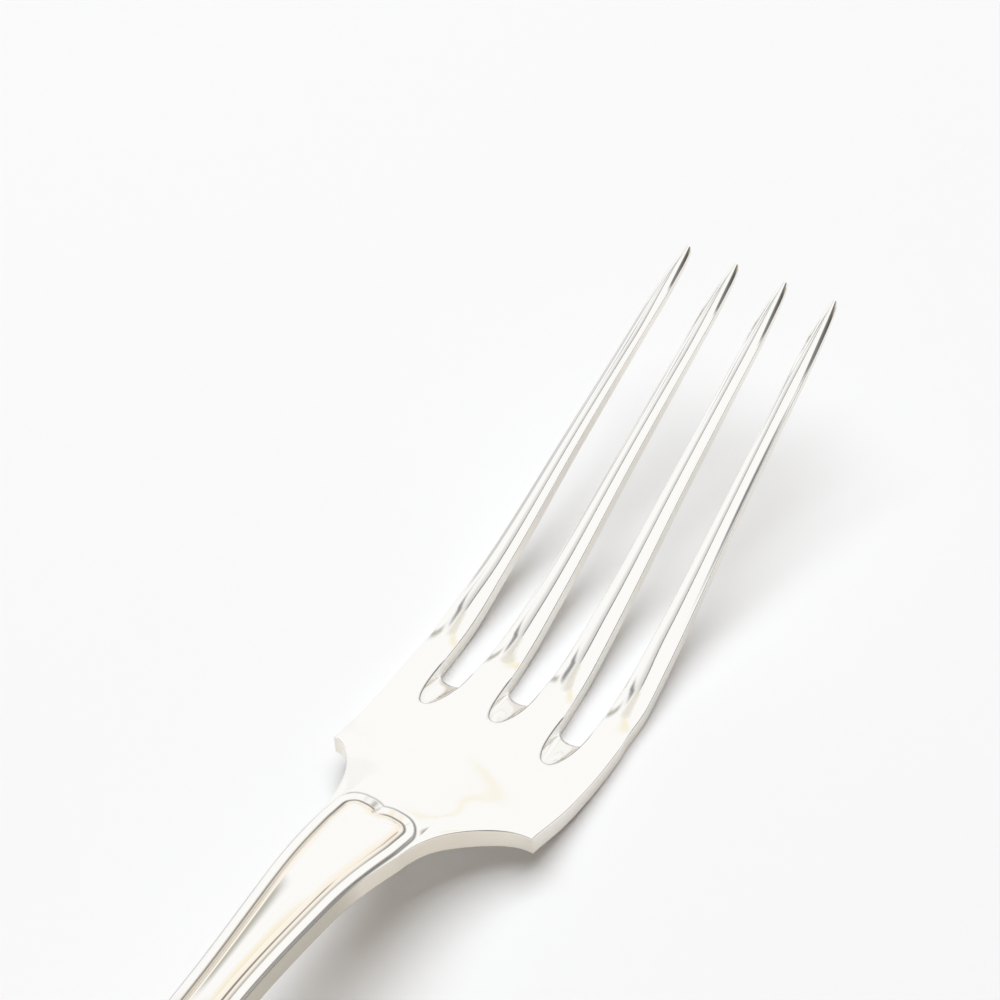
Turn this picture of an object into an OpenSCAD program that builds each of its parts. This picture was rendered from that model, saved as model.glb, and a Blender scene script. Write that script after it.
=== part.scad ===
// Dinner fork with a fiddle-shaped handle and a raised thread border, forged in one piece.
// The origin is on the table, under the middle of the fork. The points lie toward +Y.
// Inside the file, s runs along the fork from the shoulders: plus toward the points.

/* [Overall] */
// Length from the end of the handle to the points
fork_length = 204; // [190:1:220]
// Length from the shoulders to the points
head_length = 73; // [68:0.5:78]
// Width across the square shoulders
shoulder_width = 24.8; // [23:0.2:26]
// Width across the head where the slots begin
head_width = 26.5; // [25.5:0.1:28]
// Distance from the points to the cut where the loose tines meet the root
tine_length = 49; // [46:0.5:50]

/* [Heights of the underside above the table] */
// Under the points
point_rise = 21.4; // [16:0.2:26]
// Under the middle of the tines
tine_rise = 9.9; // [7:0.1:12]
// Under the rear third of the tines
tine_low_rise = 2.3; // [1:0.1:3.5]
// Under the head where the slots begin, on the middle line
root_rise = 1.9; // [1.6:0.1:2.6]
// Under the head between the shoulders, on the middle line
shoulder_rise = 5.6; // [5:0.1:6.6]
// Under the heel, where the stem meets the head
heel_rise = 9.7; // [8:0.1:11]
// Under the neck of the stem
neck_rise = 13.2; // [12:0.2:14]
// Under the top of the arch of the stem
arch_rise = 14; // [13.4:0.2:16]
// Under the fiddle shoulders of the handle
fiddle_rise = 9.8; // [8:0.2:12]
// Under the widest part of the handle
pad_rise = 1.5; // [0.8:0.1:3]

/* [Droop of the sides of the head below its middle line] */
// At the heel, if it were as wide as the shoulders
heel_droop = 3.2; // [2.4:0.1:3.6]
// In the middle of the curved shoulders, if it were as wide as the shoulders
sweep_droop = 3.3; // [2.6:0.1:3.6]
// At the shoulders
shoulder_droop = 2.3; // [1.5:0.1:2.6]
// Between the shoulders and the slots
rim_droop = 2.05; // [1.4:0.05:2.3]
// Where the slots begin
root_droop = 1.25; // [0.8:0.05:1.4]

/* [Places on the head, from the shoulders] */
// Lowest line of the belly, under the roots of the tines
belly_at = 19; // [17:0.5:21]
// Length of the worn flat on the belly
belly_flat = 3; // [2:0.5:4]
// Upper end of the two outer slots
slot_start = 10; // [9:0.5:11]
// Middle slot ends this much nearer the points
middle_slot_step = 1.9; // [1:0.1:2.5]
// Rear third of the tines
tine_low_at = 29.5; // [28:0.5:31]
// Middle of the tines
tine_mid_at = 47; // [45:0.5:50]
// Middle of the rim between the shoulders and the slots
rim_at = 5; // [4:0.5:6]
// Middle of the curved shoulders, back from their corners
sweep_middle_back = 3; // [2.5:0.5:4]
// Heel, back from the shoulders
heel_back = 9.6; // [9:0.2:10.4]
// Where the edge of the stem opens into the shoulders
sweep_back = 12.3; // [11.5:0.1:13]

/* [Places on stem and handle, as shares of their length behind the shoulders] */
// Neck of the stem
neck_share = 0.166; // [0.15:0.002:0.18]
// Top of the arch
arch_share = 0.275; // [0.25:0.005:0.31]
// Where the stem is counted as handle
grip_share = 0.38; // [0.36:0.01:0.43]
// Where the handle steps out into the fiddle
fiddle_share = 0.575; // [0.54:0.005:0.61]
// Length of the fiddle step
step_share = 0.038; // [0.03:0.002:0.05]
// Widest part of the handle
pad_share = 0.908; // [0.88:0.004:0.93]
// Length of the handle's end that lies on the table
foot_length = 4; // [2:0.5:5]

/* [Thickness] */
// At the points
point_thick = 0.9; // [0.7:0.1:1.2]
// At the middle of the tines
tine_thick = 2; // [1.8:0.1:2.4]
// At the roots of the tines
root_thick = 2.4; // [2.2:0.1:2.9]
// Where the slots begin
slot_thick = 2.6; // [2.3:0.1:3]
// At the shoulders
shoulder_thick = 2.9; // [2.4:0.1:3.2]
// At the heel
heel_thick = 3.3; // [2.8:0.1:3.6]
// Along the stem
stem_thick = 3.4; // [3:0.1:3.8]
// At the fiddle shoulders of the handle
fiddle_thick = 2.6; // [2.2:0.1:3]
// At the end of the handle
pad_thick = 2; // [1.8:0.1:2.6]

/* [Tines and slots] */
// Spacing of the tines at the roots
root_pitch = 7.75; // [7.6:0.05:7.9]
// Spacing of the tines at the points
point_pitch = 6.45; // [6.2:0.05:6.7]
// Width of a tine at the root
tine_root_width = 4.1; // [3.8:0.05:4.3]
// Width of a tine where its point begins
tine_front_width = 1.9; // [1.6:0.05:2.2]
// Width of the blunt point
point_width = 0.4; // [0.3:0.05:0.7]
// Length of the tapered point
point_length = 9; // [7:0.5:12]
// Height of the crown along the top of a tine
tine_crown = 0.45; // [0.3:0.05:0.6]
// Length of the scooped slope at the end of a slot
scoop_length = 5; // [4:0.1:5.4]
// Hollow of that slope
scoop_hollow = 0.25; // [0.1:0.05:0.4]

/* [Stem and handle widths] */
// Where the stem opens into the shoulders
sweep_width = 9.8; // [9.4:0.1:10.4]
// At the neck
neck_width = 7.5; // [7.2:0.1:8]
// At the top of the arch
arch_width = 5.9; // [5.6:0.1:6.6]
// Just behind the fiddle shoulders
waist_width = 6.6; // [6:0.1:7.2]
// Just past the fiddle shoulders
fiddle_width = 14.6; // [13:0.2:16]
// At the widest part of the handle
pad_width = 24; // [22:0.5:26]

/* [Thread border] */
// Width of the raised thread
thread_width = 0.9; // [0.7:0.05:1]
// Width of each sloping side of the thread
thread_slope = 0.25; // [0.2:0.05:0.3]
// Height of the thread over the edge of the blank
thread_height = 0.75; // [0.5:0.05:0.9]
// Height of the panel over the edge of the blank
panel_height = 0.45; // [0.3:0.05:0.5]
// Depth of the groove between thread and panel
groove_depth = 0.15; // [0.1:0.05:0.25]
// Width of the rise from the groove to the panel
groove_width = 0.5; // [0.4:0.05:0.6]
// Crown of the panel
panel_crown = 0.3; // [0.2:0.05:0.4]
// Margin outside the thread along the stem and handle
margin = 0.15; // [0.1:0.05:0.3]
// Width over the threads where they end on the head
lobe_width = 9.1; // [8.8:0.1:9.4]
// End of the thread on the head, back from the shoulders
lobe_back = 7.5; // [7.2:0.1:8]
// Radius of each lobe's round corner
lobe_corner = 2.3; // [2:0.1:2.6]
// Depth of the notch between the lobes
lobe_notch = 0.5; // [0.3:0.1:0.7]
// Width of that notch
notch_width = 3; // [2.4:0.2:3.6]
// How deep the thread is rooted in the blank
thread_root = 0.3; // [0.2:0.05:0.4]
// Width over which the panel flows into the plate of the head
flow_width = 8; // [6:0.5:9]

/* [Smoothness] */
// Rows along the stem
stem_rows = 14; // [8:1:20]
// Rows along each stretch of the handle
handle_rows = 9; // [6:1:12]
// Rows along a tine
tine_rows = 18; // [10:1:20]
// Faces round half an outer slot end
slot_faces = 6; // [4:1:8]

/* [Hidden] */

handle_back = fork_length - head_length;
neck_back = neck_share * handle_back;
arch_back = arch_share * handle_back;
grip_back = grip_share * handle_back;
fiddle_back = fiddle_share * handle_back;
fiddle_step = step_share * handle_back;
pad_back = pad_share * handle_back;
shoulder_y = fork_length / 2 - head_length;
tine_cut = head_length - tine_length;
slot_half = (root_pitch - tine_root_width) / 2;
outer_centre = slot_start + scoop_length + slot_half;
middle_centre = outer_centre + middle_slot_step;
lobe_half = lobe_width / 2;
thread_base = 2 * thread_slope + thread_width;
stem_panel_half = lobe_half - thread_base;
right_angle = 90;
half_turn = 180;

// Columns from the middle of the fork outward, counted once for the border and once for the head
PANEL_EDGE = 3;
GROOVE = 4;
THREAD_MIDDLE = 5;
EDGE = 6;
INNER_SLOT_EDGE = slot_faces;
STRIP = 6;
OUTER_SLOT = INNER_SLOT_EDGE + STRIP;
OUTER_STRIP = OUTER_SLOT + 2 * slot_faces;
RIM = OUTER_STRIP + STRIP;
SWEEP_X_POWER = 1.55;
SWEEP_S_POWER = 1.5;
TAPER_POWER = 2;

// Curves through stations, each [s, value], with no overshoot

function rise_rate(p, i) = (p[i + 1][1] - p[i][1]) / (p[i + 1][0] - p[i][0]);

function slope_at(p, i) =
    i == 0 ? rise_rate(p, 0)
    : i == len(p) - 1 ? rise_rate(p, i - 1)
    : rise_rate(p, i - 1) * rise_rate(p, i) <= 0 ? 0
    : 2 * rise_rate(p, i - 1) * rise_rate(p, i) / (rise_rate(p, i - 1) + rise_rate(p, i));

function span_of(p, s, i = 0) = i >= len(p) - 2 || s < p[i + 1][0] ? i : span_of(p, s, i + 1);

function curve(p, s) =
    let (i = span_of(p, s))
    let (gap = p[i + 1][0] - p[i][0])
    let (t = (s - p[i][0]) / gap)
    p[i][1] * (1 + 2 * t) * (1 - t) ^ 2 + gap * slope_at(p, i) * t * (1 - t) ^ 2
    + p[i + 1][1] * t ^ 2 * (3 - 2 * t) + gap * slope_at(p, i + 1) * t ^ 2 * (t - 1);

function blend(a, b, t) = a + (b - a) * t;
function ease(t) = t * t * (3 - 2 * t);
function between(a, b, s) = max(0, min(1, (s - a) / (b - a)));

// Side view: the underside, and the thickness over it

UNDERSIDE = [
    [-handle_back, 0],
    [foot_length - handle_back, 0],
    [-pad_back, pad_rise],
    [-fiddle_back, fiddle_rise],
    [-arch_back, arch_rise],
    [-neck_back, neck_rise],
    [-heel_back, heel_rise],
    [0, shoulder_rise],
    [slot_start, root_rise],
    [belly_at - belly_flat / 2, 0],
    [belly_at + belly_flat / 2, 0],
    [tine_low_at, tine_low_rise],
    [tine_mid_at, tine_rise],
    [head_length, point_rise]
];
THICKNESS = [
    [-handle_back, pad_thick],
    [-fiddle_back, fiddle_thick],
    [-arch_back, stem_thick],
    [-neck_back, stem_thick],
    [-heel_back, heel_thick],
    [0, shoulder_thick],
    [slot_start, slot_thick],
    [belly_at, root_thick],
    [tine_mid_at, tine_thick],
    [head_length, point_thick]
];
// The head is bent down a little toward both sides
DROOP = [
    [-handle_back, 0],
    [-neck_back, 0],
    [-heel_back, heel_droop],
    [-sweep_middle_back, sweep_droop],
    [0, shoulder_droop],
    [rim_at, rim_droop],
    [slot_start, root_droop],
    [belly_at - belly_flat / 2, 0],
    [head_length, 0]
];
function underside(p) = curve(UNDERSIDE, p[1]) - curve(DROOP, p[1]) * (p[0] / (shoulder_width / 2)) ^ 2;
function top_face(p) = underside(p) + curve(THICKNESS, p[1]);

// Plan of the stem and handle

EDGE_HALF = [
    [-pad_back, pad_width / 2],
    [-fiddle_back - fiddle_step, fiddle_width / 2],
    [-fiddle_back, waist_width / 2],
    [-grip_back, arch_width / 2],
    [-arch_back, arch_width / 2],
    [-neck_back, neck_width / 2],
    [-sweep_back, sweep_width / 2]
];
MARGIN = [
    [-handle_back, margin],
    [-neck_back, margin],
    [-sweep_back, (sweep_width - lobe_width) / 2 + margin / 2]
];
function edge_half(s) = curve(EDGE_HALF, min(s, -sweep_back));
// The thread keeps its width where it turns round the lobes
function thread_half(s) = blend(
    edge_half(s) - curve(MARGIN, min(s, -sweep_back)), lobe_half,
    ease(between(-sweep_back, -lobe_back - lobe_corner, s)));
function lobe_end(x) = -lobe_back - lobe_notch * max(0, 1 - x / (notch_width / 2)) ^ 2;

// How far a point of stem or head lies inside the outer line of the thread
function inside_thread(q) =
    let (side = thread_half(q[1]) - q[0])
    let (end = lobe_end(q[0]) - q[1])
    side < lobe_corner && end < lobe_corner
        ? lobe_corner - norm([lobe_corner - side, lobe_corner - end])
        : min(side, end);

// Height over the edge of the blank: the level of the panel, then its crown and groove

// Half the panel, measured square to the thread
PANEL_HALF = [
    [-handle_back, pad_width * 3 / 8],
    [-fiddle_back - fiddle_step, fiddle_width * 5 / 12],
    [-fiddle_back + fiddle_step, stem_panel_half],
    [-grip_back, stem_panel_half],
    [0, stem_panel_half]
];
function panel_shape(inside, s) =
    let (rise = between(thread_base, thread_base + curve(PANEL_HALF, min(s, 0)), inside))
    let (groove = groove_depth * (1 - ease(between(thread_base, thread_base + groove_width, inside))))
    (panel_crown * (1 - (1 - rise) ^ 2) - groove) * ease(between(0, thread_base / 2, inside));

// The panel's level ends under the thread on stem and handle, and flows out over the head
function level(q, inside) =
    let (wide = ease(between(-sweep_back, 0, q[1])) ^ 2)
    let (beside = thread_half(min(q[1], -lobe_back)) - thread_base / 2)
    let (fade = 1 - ease(between(-lobe_back, slot_start * 4 / 5, q[1])))
    wide == 0 ? panel_height * ease(between(0, thread_base / 2, inside))
    : panel_height * fade * (1 - ease(between(beside, beside + blend(thread_base / 2, flow_width, wide), q[0])));
function relief(q, inside) = level(q, inside) + panel_shape(inside, q[1]);

// The back keeps this much metal for its own thread. It fades out beside the thread and under the bowl
function keel(q) =
    let (line = thread_half(min(q[1], -lobe_back)))
    let (reach = blend(sweep_width, sweep_width / 2, between(-sweep_back, -heel_back, q[1])) * 2 / 3)
    thread_height * (1 - ease(between(-lobe_back, slot_start / 3, q[1])))
        * (1 - ease(between(line, line + reach, q[0])));

// How far each column of stem and handle lies inside the thread line
function inset(k) =
    k == THREAD_MIDDLE ? thread_base / 2
    : k == GROOVE ? thread_base
    : thread_base + groove_width;

// A closed skin made of patches; each patch is a grid of points, and top patches face up

function grid_points(patches) = [for (patch = patches) for (row = patch[0]) each row];
function grid_size(patch) = len(patch[0]) * len(patch[0][0]);
function starts(patches, i = 0, total = 0) =
    i == len(patches) ? [] : concat([total], starts(patches, i + 1, total + grid_size(patches[i])));
function apart(a, b, c) = a != b && b != c && c != a;
function patch_faces(patch, start) =
    let (g = patch[0])
    let (n = len(g[0]))
    [for (r = [0 : len(g) - 2]) for (c = [0 : n - 2]) for (half = [0, 1])
        let (a = [r, c])
        let (b = half == 0 ? [r + 1, c + 1] : [r + 1, c])
        let (d = half == 0 ? [r, c + 1] : [r + 1, c + 1])
        if (apart(g[a[0]][a[1]], g[b[0]][b[1]], g[d[0]][d[1]]))
            patch[1]
                ? [start + a[0] * n + a[1], start + b[0] * n + b[1], start + d[0] * n + d[1]]
                : [start + a[0] * n + a[1], start + d[0] * n + d[1], start + b[0] * n + b[1]]];

module skin(patches) {
    first = starts(patches);
    faces = [for (i = [0 : len(patches) - 1]) each patch_faces(patches[i], first[i])];
    translate([0, shoulder_y, 0])
        polyhedron(points = grid_points(patches), faces = faces);
}

// Right-hand patches joined by their mirror images on the left
function mirrored(p) = [-p[0], p[1], p[2]];
function both_halves(patches) = concat(patches, [for (patch = patches)
    [[for (row = patch[0]) [for (p = row) mirrored(p)]], !patch[1]]]);
function column(grid, c) = [for (row = grid) row[c]];

// Stem and handle: rows that follow the outline, inset by the border's columns

STEM_S = [for (i = [0 : stem_rows]) blend(-grip_back, -sweep_back, i / stem_rows)];
HANDLE_S = concat(
    [for (i = [0 : handle_rows]) blend(-pad_back, -fiddle_back - fiddle_step, i / handle_rows)],
    [for (i = [1 : handle_rows]) blend(-fiddle_back - fiddle_step, -fiddle_back, i / handle_rows)],
    [for (i = [1 : handle_rows]) blend(-fiddle_back, -grip_back, i / handle_rows)]
);
end_round = handle_back - pad_back;
END_SHARES = [for (i = [handle_rows + 1 : -1 : 1]) sin(right_angle * i / (handle_rows + 2))];

function edge_point(s) = [edge_half(s), s];
function end_point(share) = [
    pad_width / 2 * cos(right_angle * share),
    -pad_back - end_round * sin(right_angle * share)
];
HANDLE_EDGE = concat(
    [for (share = END_SHARES) end_point(share)],
    [for (s = HANDLE_S) edge_point(s)]
);

// Direction into the fork, square to the outline, at point i of it
function inward(edge, i) =
    let (a = edge[max(0, i - 1)])
    let (b = edge[min(len(edge) - 1, i + 1)])
    let (along = [b[0] - a[0], b[1] - a[1]])
    i == len(edge) - 1 ? [-1, 0] : [-along[1], along[0]] / norm(along);

// Columns of the handle, each [place, distance inside the thread line]
function handle_column(edge, i, k) =
    let (p = edge[i])
    let (n = inward(edge, i))
    let (line = p + n * margin)
    let (panel = line + n * inset(PANEL_EDGE))
    k == EDGE ? [p, 0]
    : k >= PANEL_EDGE ? [line + n * inset(k), inset(k)]
    : [[panel[0] * k / PANEL_EDGE, panel[1]], inset(PANEL_EDGE) + panel[0] * (1 - k / PANEL_EDGE)];
function stem_plan(s, k) =
    k == EDGE ? [edge_half(s), s]
    : k >= PANEL_EDGE ? [thread_half(s) - inset(k), s]
    : [(thread_half(s) - inset(PANEL_EDGE)) * k / PANEL_EDGE, s];

function on_top(q, inside) = [q[0], q[1], top_face(q) + relief(q, inside)];
function on_bottom(q, inside) = [q[0], q[1], underside(q) + keel(q) - relief(q, inside)];
function on_face(q, inside, top) = top ? on_top(q, inside) : on_bottom(q, inside);

function stem_row(s, top) = [for (k = [0 : EDGE])
    let (q = stem_plan(s, k))
    on_face(q, k == EDGE ? 0 : thread_half(s) - q[0], top)];
function handle_row(i, top) = [for (k = [0 : EDGE])
    let (c = handle_column(HANDLE_EDGE, i, k))
    on_face(c[0], c[1], top)];

// The thread: a bar with sloping sides along stations of its outer line, each [place, way in]

function thread_point(station, across, lift, top) =
    let (q = station[0] + station[1] * across)
    [q[0], q[1], top ? top_face(q) + lift : underside(q) + keel(q) - lift];
function thread_section(station, top) = [
    thread_point(station, 0, -thread_root, top),
    thread_point(station, thread_slope, thread_height, top),
    thread_point(station, thread_slope + thread_width, thread_height, top),
    thread_point(station, thread_base, -thread_root, top),
    thread_point(station, 0, -thread_root, top)
];
function thread_cap(section) = [[section[0], section[3]], [section[1], section[2]]];
// Stations run from the middle or the handle's side of a node. ahead says that the fork's inside is
// on their left; caps close the first and the last station.
function thread_patches(stations, top, ahead, first_cap, last_cap) =
    let (g = [for (station = stations) thread_section(station, top)])
    let (last = len(g) - 1)
    let (way = top != ahead)
    concat(
        [[g, way]],
        first_cap ? [[thread_cap(g[0]), way]] : [],
        last_cap ? [[thread_cap(g[last]), !way]] : []
    );
// Front and back threads of a node, laid on its blank
module threads(stations, ahead, first_cap, last_cap) {
    skin(both_halves(thread_patches(stations, true, ahead, first_cap, last_cap)));
    skin(both_halves(thread_patches(stations, false, ahead, first_cap, last_cap)));
}

// A row of the handle's end carried straight across to the middle of the fork
function to_middle(row) = [for (p = row) [0, p[1], p[2]]];

module stem() {
    top = [for (s = STEM_S) stem_row(s, true)];
    low = [for (s = STEM_S) stem_row(s, false)];
    last = len(top) - 1;
    stations = [for (s = STEM_S) [[thread_half(s), s], [-1, 0]]];
    color("silver")
        skin(both_halves([
            [top, true],
            [low, false],
            [[top[0], low[0]], false],
            [[top[last], low[last]], true],
            [[column(top, EDGE), column(low, EDGE)], false]
        ]));
    color("silver")
        threads(stations, true, true, true);
}

module handle() {
    last = len(HANDLE_EDGE) - 1;
    top = [for (i = [0 : last]) handle_row(i, true)];
    low = [for (i = [0 : last]) handle_row(i, false)];
    stations = concat(
        [[[0, margin - handle_back], [0, 1]]],
        [for (i = [0 : last])
            let (n = inward(HANDLE_EDGE, i))
            [HANDLE_EDGE[i] + n * margin, n]]
    );
    color("silver")
        skin(both_halves([
            [top, true],
            [low, false],
            [[to_middle(top[0]), top[0]], true],
            [[to_middle(low[0]), low[0]], false],
            [[[to_middle(top[0])[EDGE], top[0][EDGE]], [to_middle(low[0])[EDGE], low[0][EDGE]]], false],
            [[top[last], low[last]], true],
            [[column(top, EDGE), column(low, EDGE)], false]
        ]));
    color("silver")
        threads(stations, true, false, true);
}

// Head: columns run from the stem and the curved shoulders to the ends of the slots

LOBE_ROWS = 4;
PLATE_ROWS = 12;
STUB_ROWS = 4;
CORNER_STATIONS = 5;
NOTCH_STATIONS = 3;
// The rows beside the border end just in front of the lobes
plate_start = thread_base / 2 - lobe_back;
crowding = 6;
rim_share = 0.03;

function pitch(s) = blend(root_pitch, point_pitch, between(outer_centre, head_length, s));
function tine_half(s) =
    let (body = blend(tine_front_width, tine_root_width,
                      (1 - between(outer_centre, head_length - point_length, s)) ^ TAPER_POWER))
    let (point = between(head_length - point_length, head_length, s))
    blend(body, point_width, 1 - sqrt(1 - point ^ 2 * (1 - (point_width / body) ^ 2))) / 2;

// The curved shoulder, from the stem at share 0 to its square corner at share 1
function back_plan(k) =
    let (share = (k - EDGE) / (RIM - EDGE))
    [blend(sweep_width / 2, shoulder_width / 2, share ^ SWEEP_X_POWER),
     -sweep_back * (1 - share) ^ SWEEP_S_POWER];

// Ends of the slots: long half ellipses in the top face, half circles in the underside
function front_plan(k, top) =
    let (reach = top ? scoop_length + slot_half : slot_half)
    k <= INNER_SLOT_EDGE
        ? let (a = right_angle * k / INNER_SLOT_EDGE)
          [slot_half * sin(a), middle_centre - reach * cos(a)]
    : k <= OUTER_SLOT
        ? let (t = (k - INNER_SLOT_EDGE) / STRIP)
          [blend(slot_half, root_pitch - slot_half, t), blend(middle_centre, outer_centre, t)]
    : k <= OUTER_STRIP
        ? let (a = half_turn * (k - OUTER_SLOT) / (OUTER_STRIP - OUTER_SLOT))
          [root_pitch - slot_half * cos(a), outer_centre - reach * sin(a)]
    : [blend(root_pitch + slot_half, head_width / 2, (k - OUTER_STRIP) / STRIP), outer_centre];

// Rows stay straight beside the border and then spread over the plate
function head_plan(k, r, top) =
    let (f = front_plan(k, top))
    let (t = (r - LOBE_ROWS) / PLATE_ROWS)
    let (spread = 0.6 * ease(between(0, 1, t)) + 0.4 * t)
    k < EDGE ? (
        r <= LOBE_ROWS ? stem_plan(blend(-sweep_back, plate_start, r / LOBE_ROWS), k)
        : let (b = stem_plan(plate_start, k))
          [blend(b[0], f[0], spread), blend(b[1], f[1], t)])
    : let (b = back_plan(k))
      let (share = (k - EDGE) / (RIM - EDGE))
      let (first = (plate_start + sweep_back) / (front_plan(EDGE, top)[1] + sweep_back))
      let (crossing = rim_share + (first - rim_share) * (1 - share) ^ crowding)
      let (away = share ^ 1.4)
      r <= LOBE_ROWS
          ? let (near = crossing * r / LOBE_ROWS)
            [blend(b[0], f[0], away * sin(right_angle * near)), blend(b[1], f[1], near)]
          : let (far = blend(crossing, 1, t))
            [blend(b[0], f[0], blend(spread, sin(right_angle * far), away)), blend(b[1], f[1], far)];

// The crown of a tine rises out of the flat root
function crown_share(k) =
    let (t = k <= OUTER_SLOT ? (k - INNER_SLOT_EDGE) / STRIP : (k - OUTER_STRIP) / STRIP)
    (k >= INNER_SLOT_EDGE && k <= OUTER_SLOT) || k >= OUTER_STRIP ? 1 - (2 * t - 1) ^ 2 : 0;

function head_top(k, r) =
    let (q = head_plan(k, r, true))
    on_top(q, k == EDGE && r == 0 ? 0 : inside_thread(q));
function head_bottom(k, r) =
    let (q = head_plan(k, r, false))
    on_bottom(q, k == EDGE && r == 0 ? 0 : inside_thread(q));

function stub_plan(k, q) =
    let (f = front_plan(k, true))
    let (s = blend(f[1], tine_cut, q / STUB_ROWS))
    let (inner = k <= OUTER_SLOT)
    let (t = inner ? (k - INNER_SLOT_EDGE) / STRIP : (k - OUTER_STRIP) / STRIP)
    let (centre = pitch(s) * (inner ? 1 / 2 : 3 / 2))
    let (full = centre + tine_half(s) * (2 * t - 1))
    let (at_root = pitch(f[1]) * (inner ? 1 / 2 : 3 / 2) + tine_half(f[1]) * (2 * t - 1))
    [full + (f[0] - at_root) * (1 - ease(q / STUB_ROWS)), s];
function stub_top(k, q) =
    let (p = stub_plan(k, q))
    [p[0], p[1], top_face(p) + tine_crown * crown_share(k) * q / STUB_ROWS];
function stub_bottom(k, q) =
    let (p = stub_plan(k, q))
    [p[0], p[1], underside(p)];

HEAD_ROWS = LOBE_ROWS + PLATE_ROWS;
SCOOP_ROWS = 3;
function scoop(k, share) =
    let (a = head_top(k, HEAD_ROWS))
    let (b = head_bottom(k, HEAD_ROWS))
    blend(a, b, share) - [0, 0, scoop_hollow * sin(half_turn * share)
        * min(1, (b[1] - a[1]) / scoop_length)];

// A standing wall between two rows of points, in as many courses as the scoops
function wall(upper, lower) = [for (i = [0 : SCOOP_ROWS])
    [for (j = [0 : len(upper) - 1]) blend(upper[j], lower[j], i / SCOOP_ROWS)]];
function scoop_patch(from, to) = [
    [for (i = [0 : SCOOP_ROWS]) [for (k = [from : to]) scoop(k, i / SCOOP_ROWS)]],
    true
];

// Stub of one tine; its first column is k
function stub_patches(k) =
    let (top = [for (q = [0 : STUB_ROWS]) [for (j = [0 : STRIP]) stub_top(k + j, q)]])
    let (low = [for (q = [0 : STUB_ROWS]) [for (j = [0 : STRIP]) stub_bottom(k + j, q)]])
    [
        [top, true],
        [low, false],
        [wall(top[STUB_ROWS], low[STUB_ROWS]), true],
        [wall(column(top, 0), column(low, 0)), true],
        [wall(column(top, STRIP), column(low, STRIP)), false]
    ];

// The thread on the head: out of the notch, round the corner and back to the stem
corner_centre = [lobe_half - lobe_corner, -lobe_back - lobe_corner];
function notch_way(x) =
    let (slope = 2 * lobe_notch / (notch_width / 2) * max(0, 1 - x / (notch_width / 2)))
    x == 0 ? [0, -1] : [slope, -1] / norm([slope, -1]);
LOBE_STATIONS = concat(
    [for (i = [0 : NOTCH_STATIONS])
        let (x = notch_width / 2 * i / NOTCH_STATIONS)
        [[x, lobe_end(x)], notch_way(x)]],
    [for (i = [0 : CORNER_STATIONS])
        let (a = right_angle * (1 - i / CORNER_STATIONS))
        let (out = [cos(a), sin(a)])
        [corner_centre + out * lobe_corner, -out]],
    [for (i = [1 : NOTCH_STATIONS])
        let (s = blend(corner_centre[1], -sweep_back, i / NOTCH_STATIONS))
        [[thread_half(s), s], [-1, 0]]]
);

module head() {
    top = [for (r = [0 : HEAD_ROWS]) [for (k = [0 : RIM]) head_top(k, r)]];
    low = [for (r = [0 : HEAD_ROWS]) [for (k = [0 : RIM]) head_bottom(k, r)]];
    color("silver")
        skin(both_halves(concat(
            [
                [top, true],
                [low, false],
                [wall(top[0], low[0]), false],
                [wall(column(top, RIM), column(low, RIM)), false]
            ],
            [scoop_patch(0, INNER_SLOT_EDGE)],
            [scoop_patch(OUTER_SLOT, OUTER_STRIP)],
            stub_patches(INNER_SLOT_EDGE),
            stub_patches(OUTER_STRIP)
        )));
    color("silver")
        threads(LOBE_STATIONS, false, false, true);
}

// Tines: four-sided bars with a crowned top, tapering to the points

function tine_s(i) = blend(tine_cut, head_length, 1 - (1 - i / tine_rows) ^ (3 / 2));
function tine_row(place, i, top) =
    let (s = tine_s(i))
    let (small = curve(THICKNESS, s) / curve(THICKNESS, tine_cut))
    let (drop = (1 - tine_half(s) / (tine_front_width / 2)) * point_thick / 2)
    let (sunk = max(0, drop))
    [for (j = [0 : STRIP])
        let (t = 2 * j / STRIP - 1)
        let (x = pitch(s) * place + tine_half(s) * t)
        top ? [x, s, top_face([x, s]) - sunk + tine_crown * (1 - t ^ 2) * small]
            : [x, s, underside([x, s])]];

module tine(place) {
    top = [for (i = [0 : tine_rows]) tine_row(place, i, true)];
    low = [for (i = [0 : tine_rows]) tine_row(place, i, false)];
    color("silver")
        skin([
            [top, true],
            [low, false],
            [[top[0], low[0]], false],
            [[top[tine_rows], low[tine_rows]], true],
            [[column(top, 0), column(low, 0)], true],
            [[column(top, STRIP), column(low, STRIP)], false]
        ]);
}
module tine_1() { tine(-3 / 2); }
module tine_2() { tine(-1 / 2); }
module tine_3() { tine(1 / 2); }
module tine_4() { tine(3 / 2); }

handle();
stem();
head();
tine_1();
tine_2();
tine_3();
tine_4();
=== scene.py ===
# %% [markdown]
# # A silver dinner fork
#
# A table fork is forged from one blank of silver. The handle, the stem, the head and its four tines
# are regions of the same metal. This lesson shapes the surface from a few curves, as a die cutter
# draws it, lets Geometry Nodes bend the tines and lay the raised thread border, and then polishes it.

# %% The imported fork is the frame
import math
from functools import partialmethod

import bmesh
import bpy
import numpy as np
from mathutils import Euler, Matrix, Vector
from mathutils.kdtree import KDTree


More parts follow.
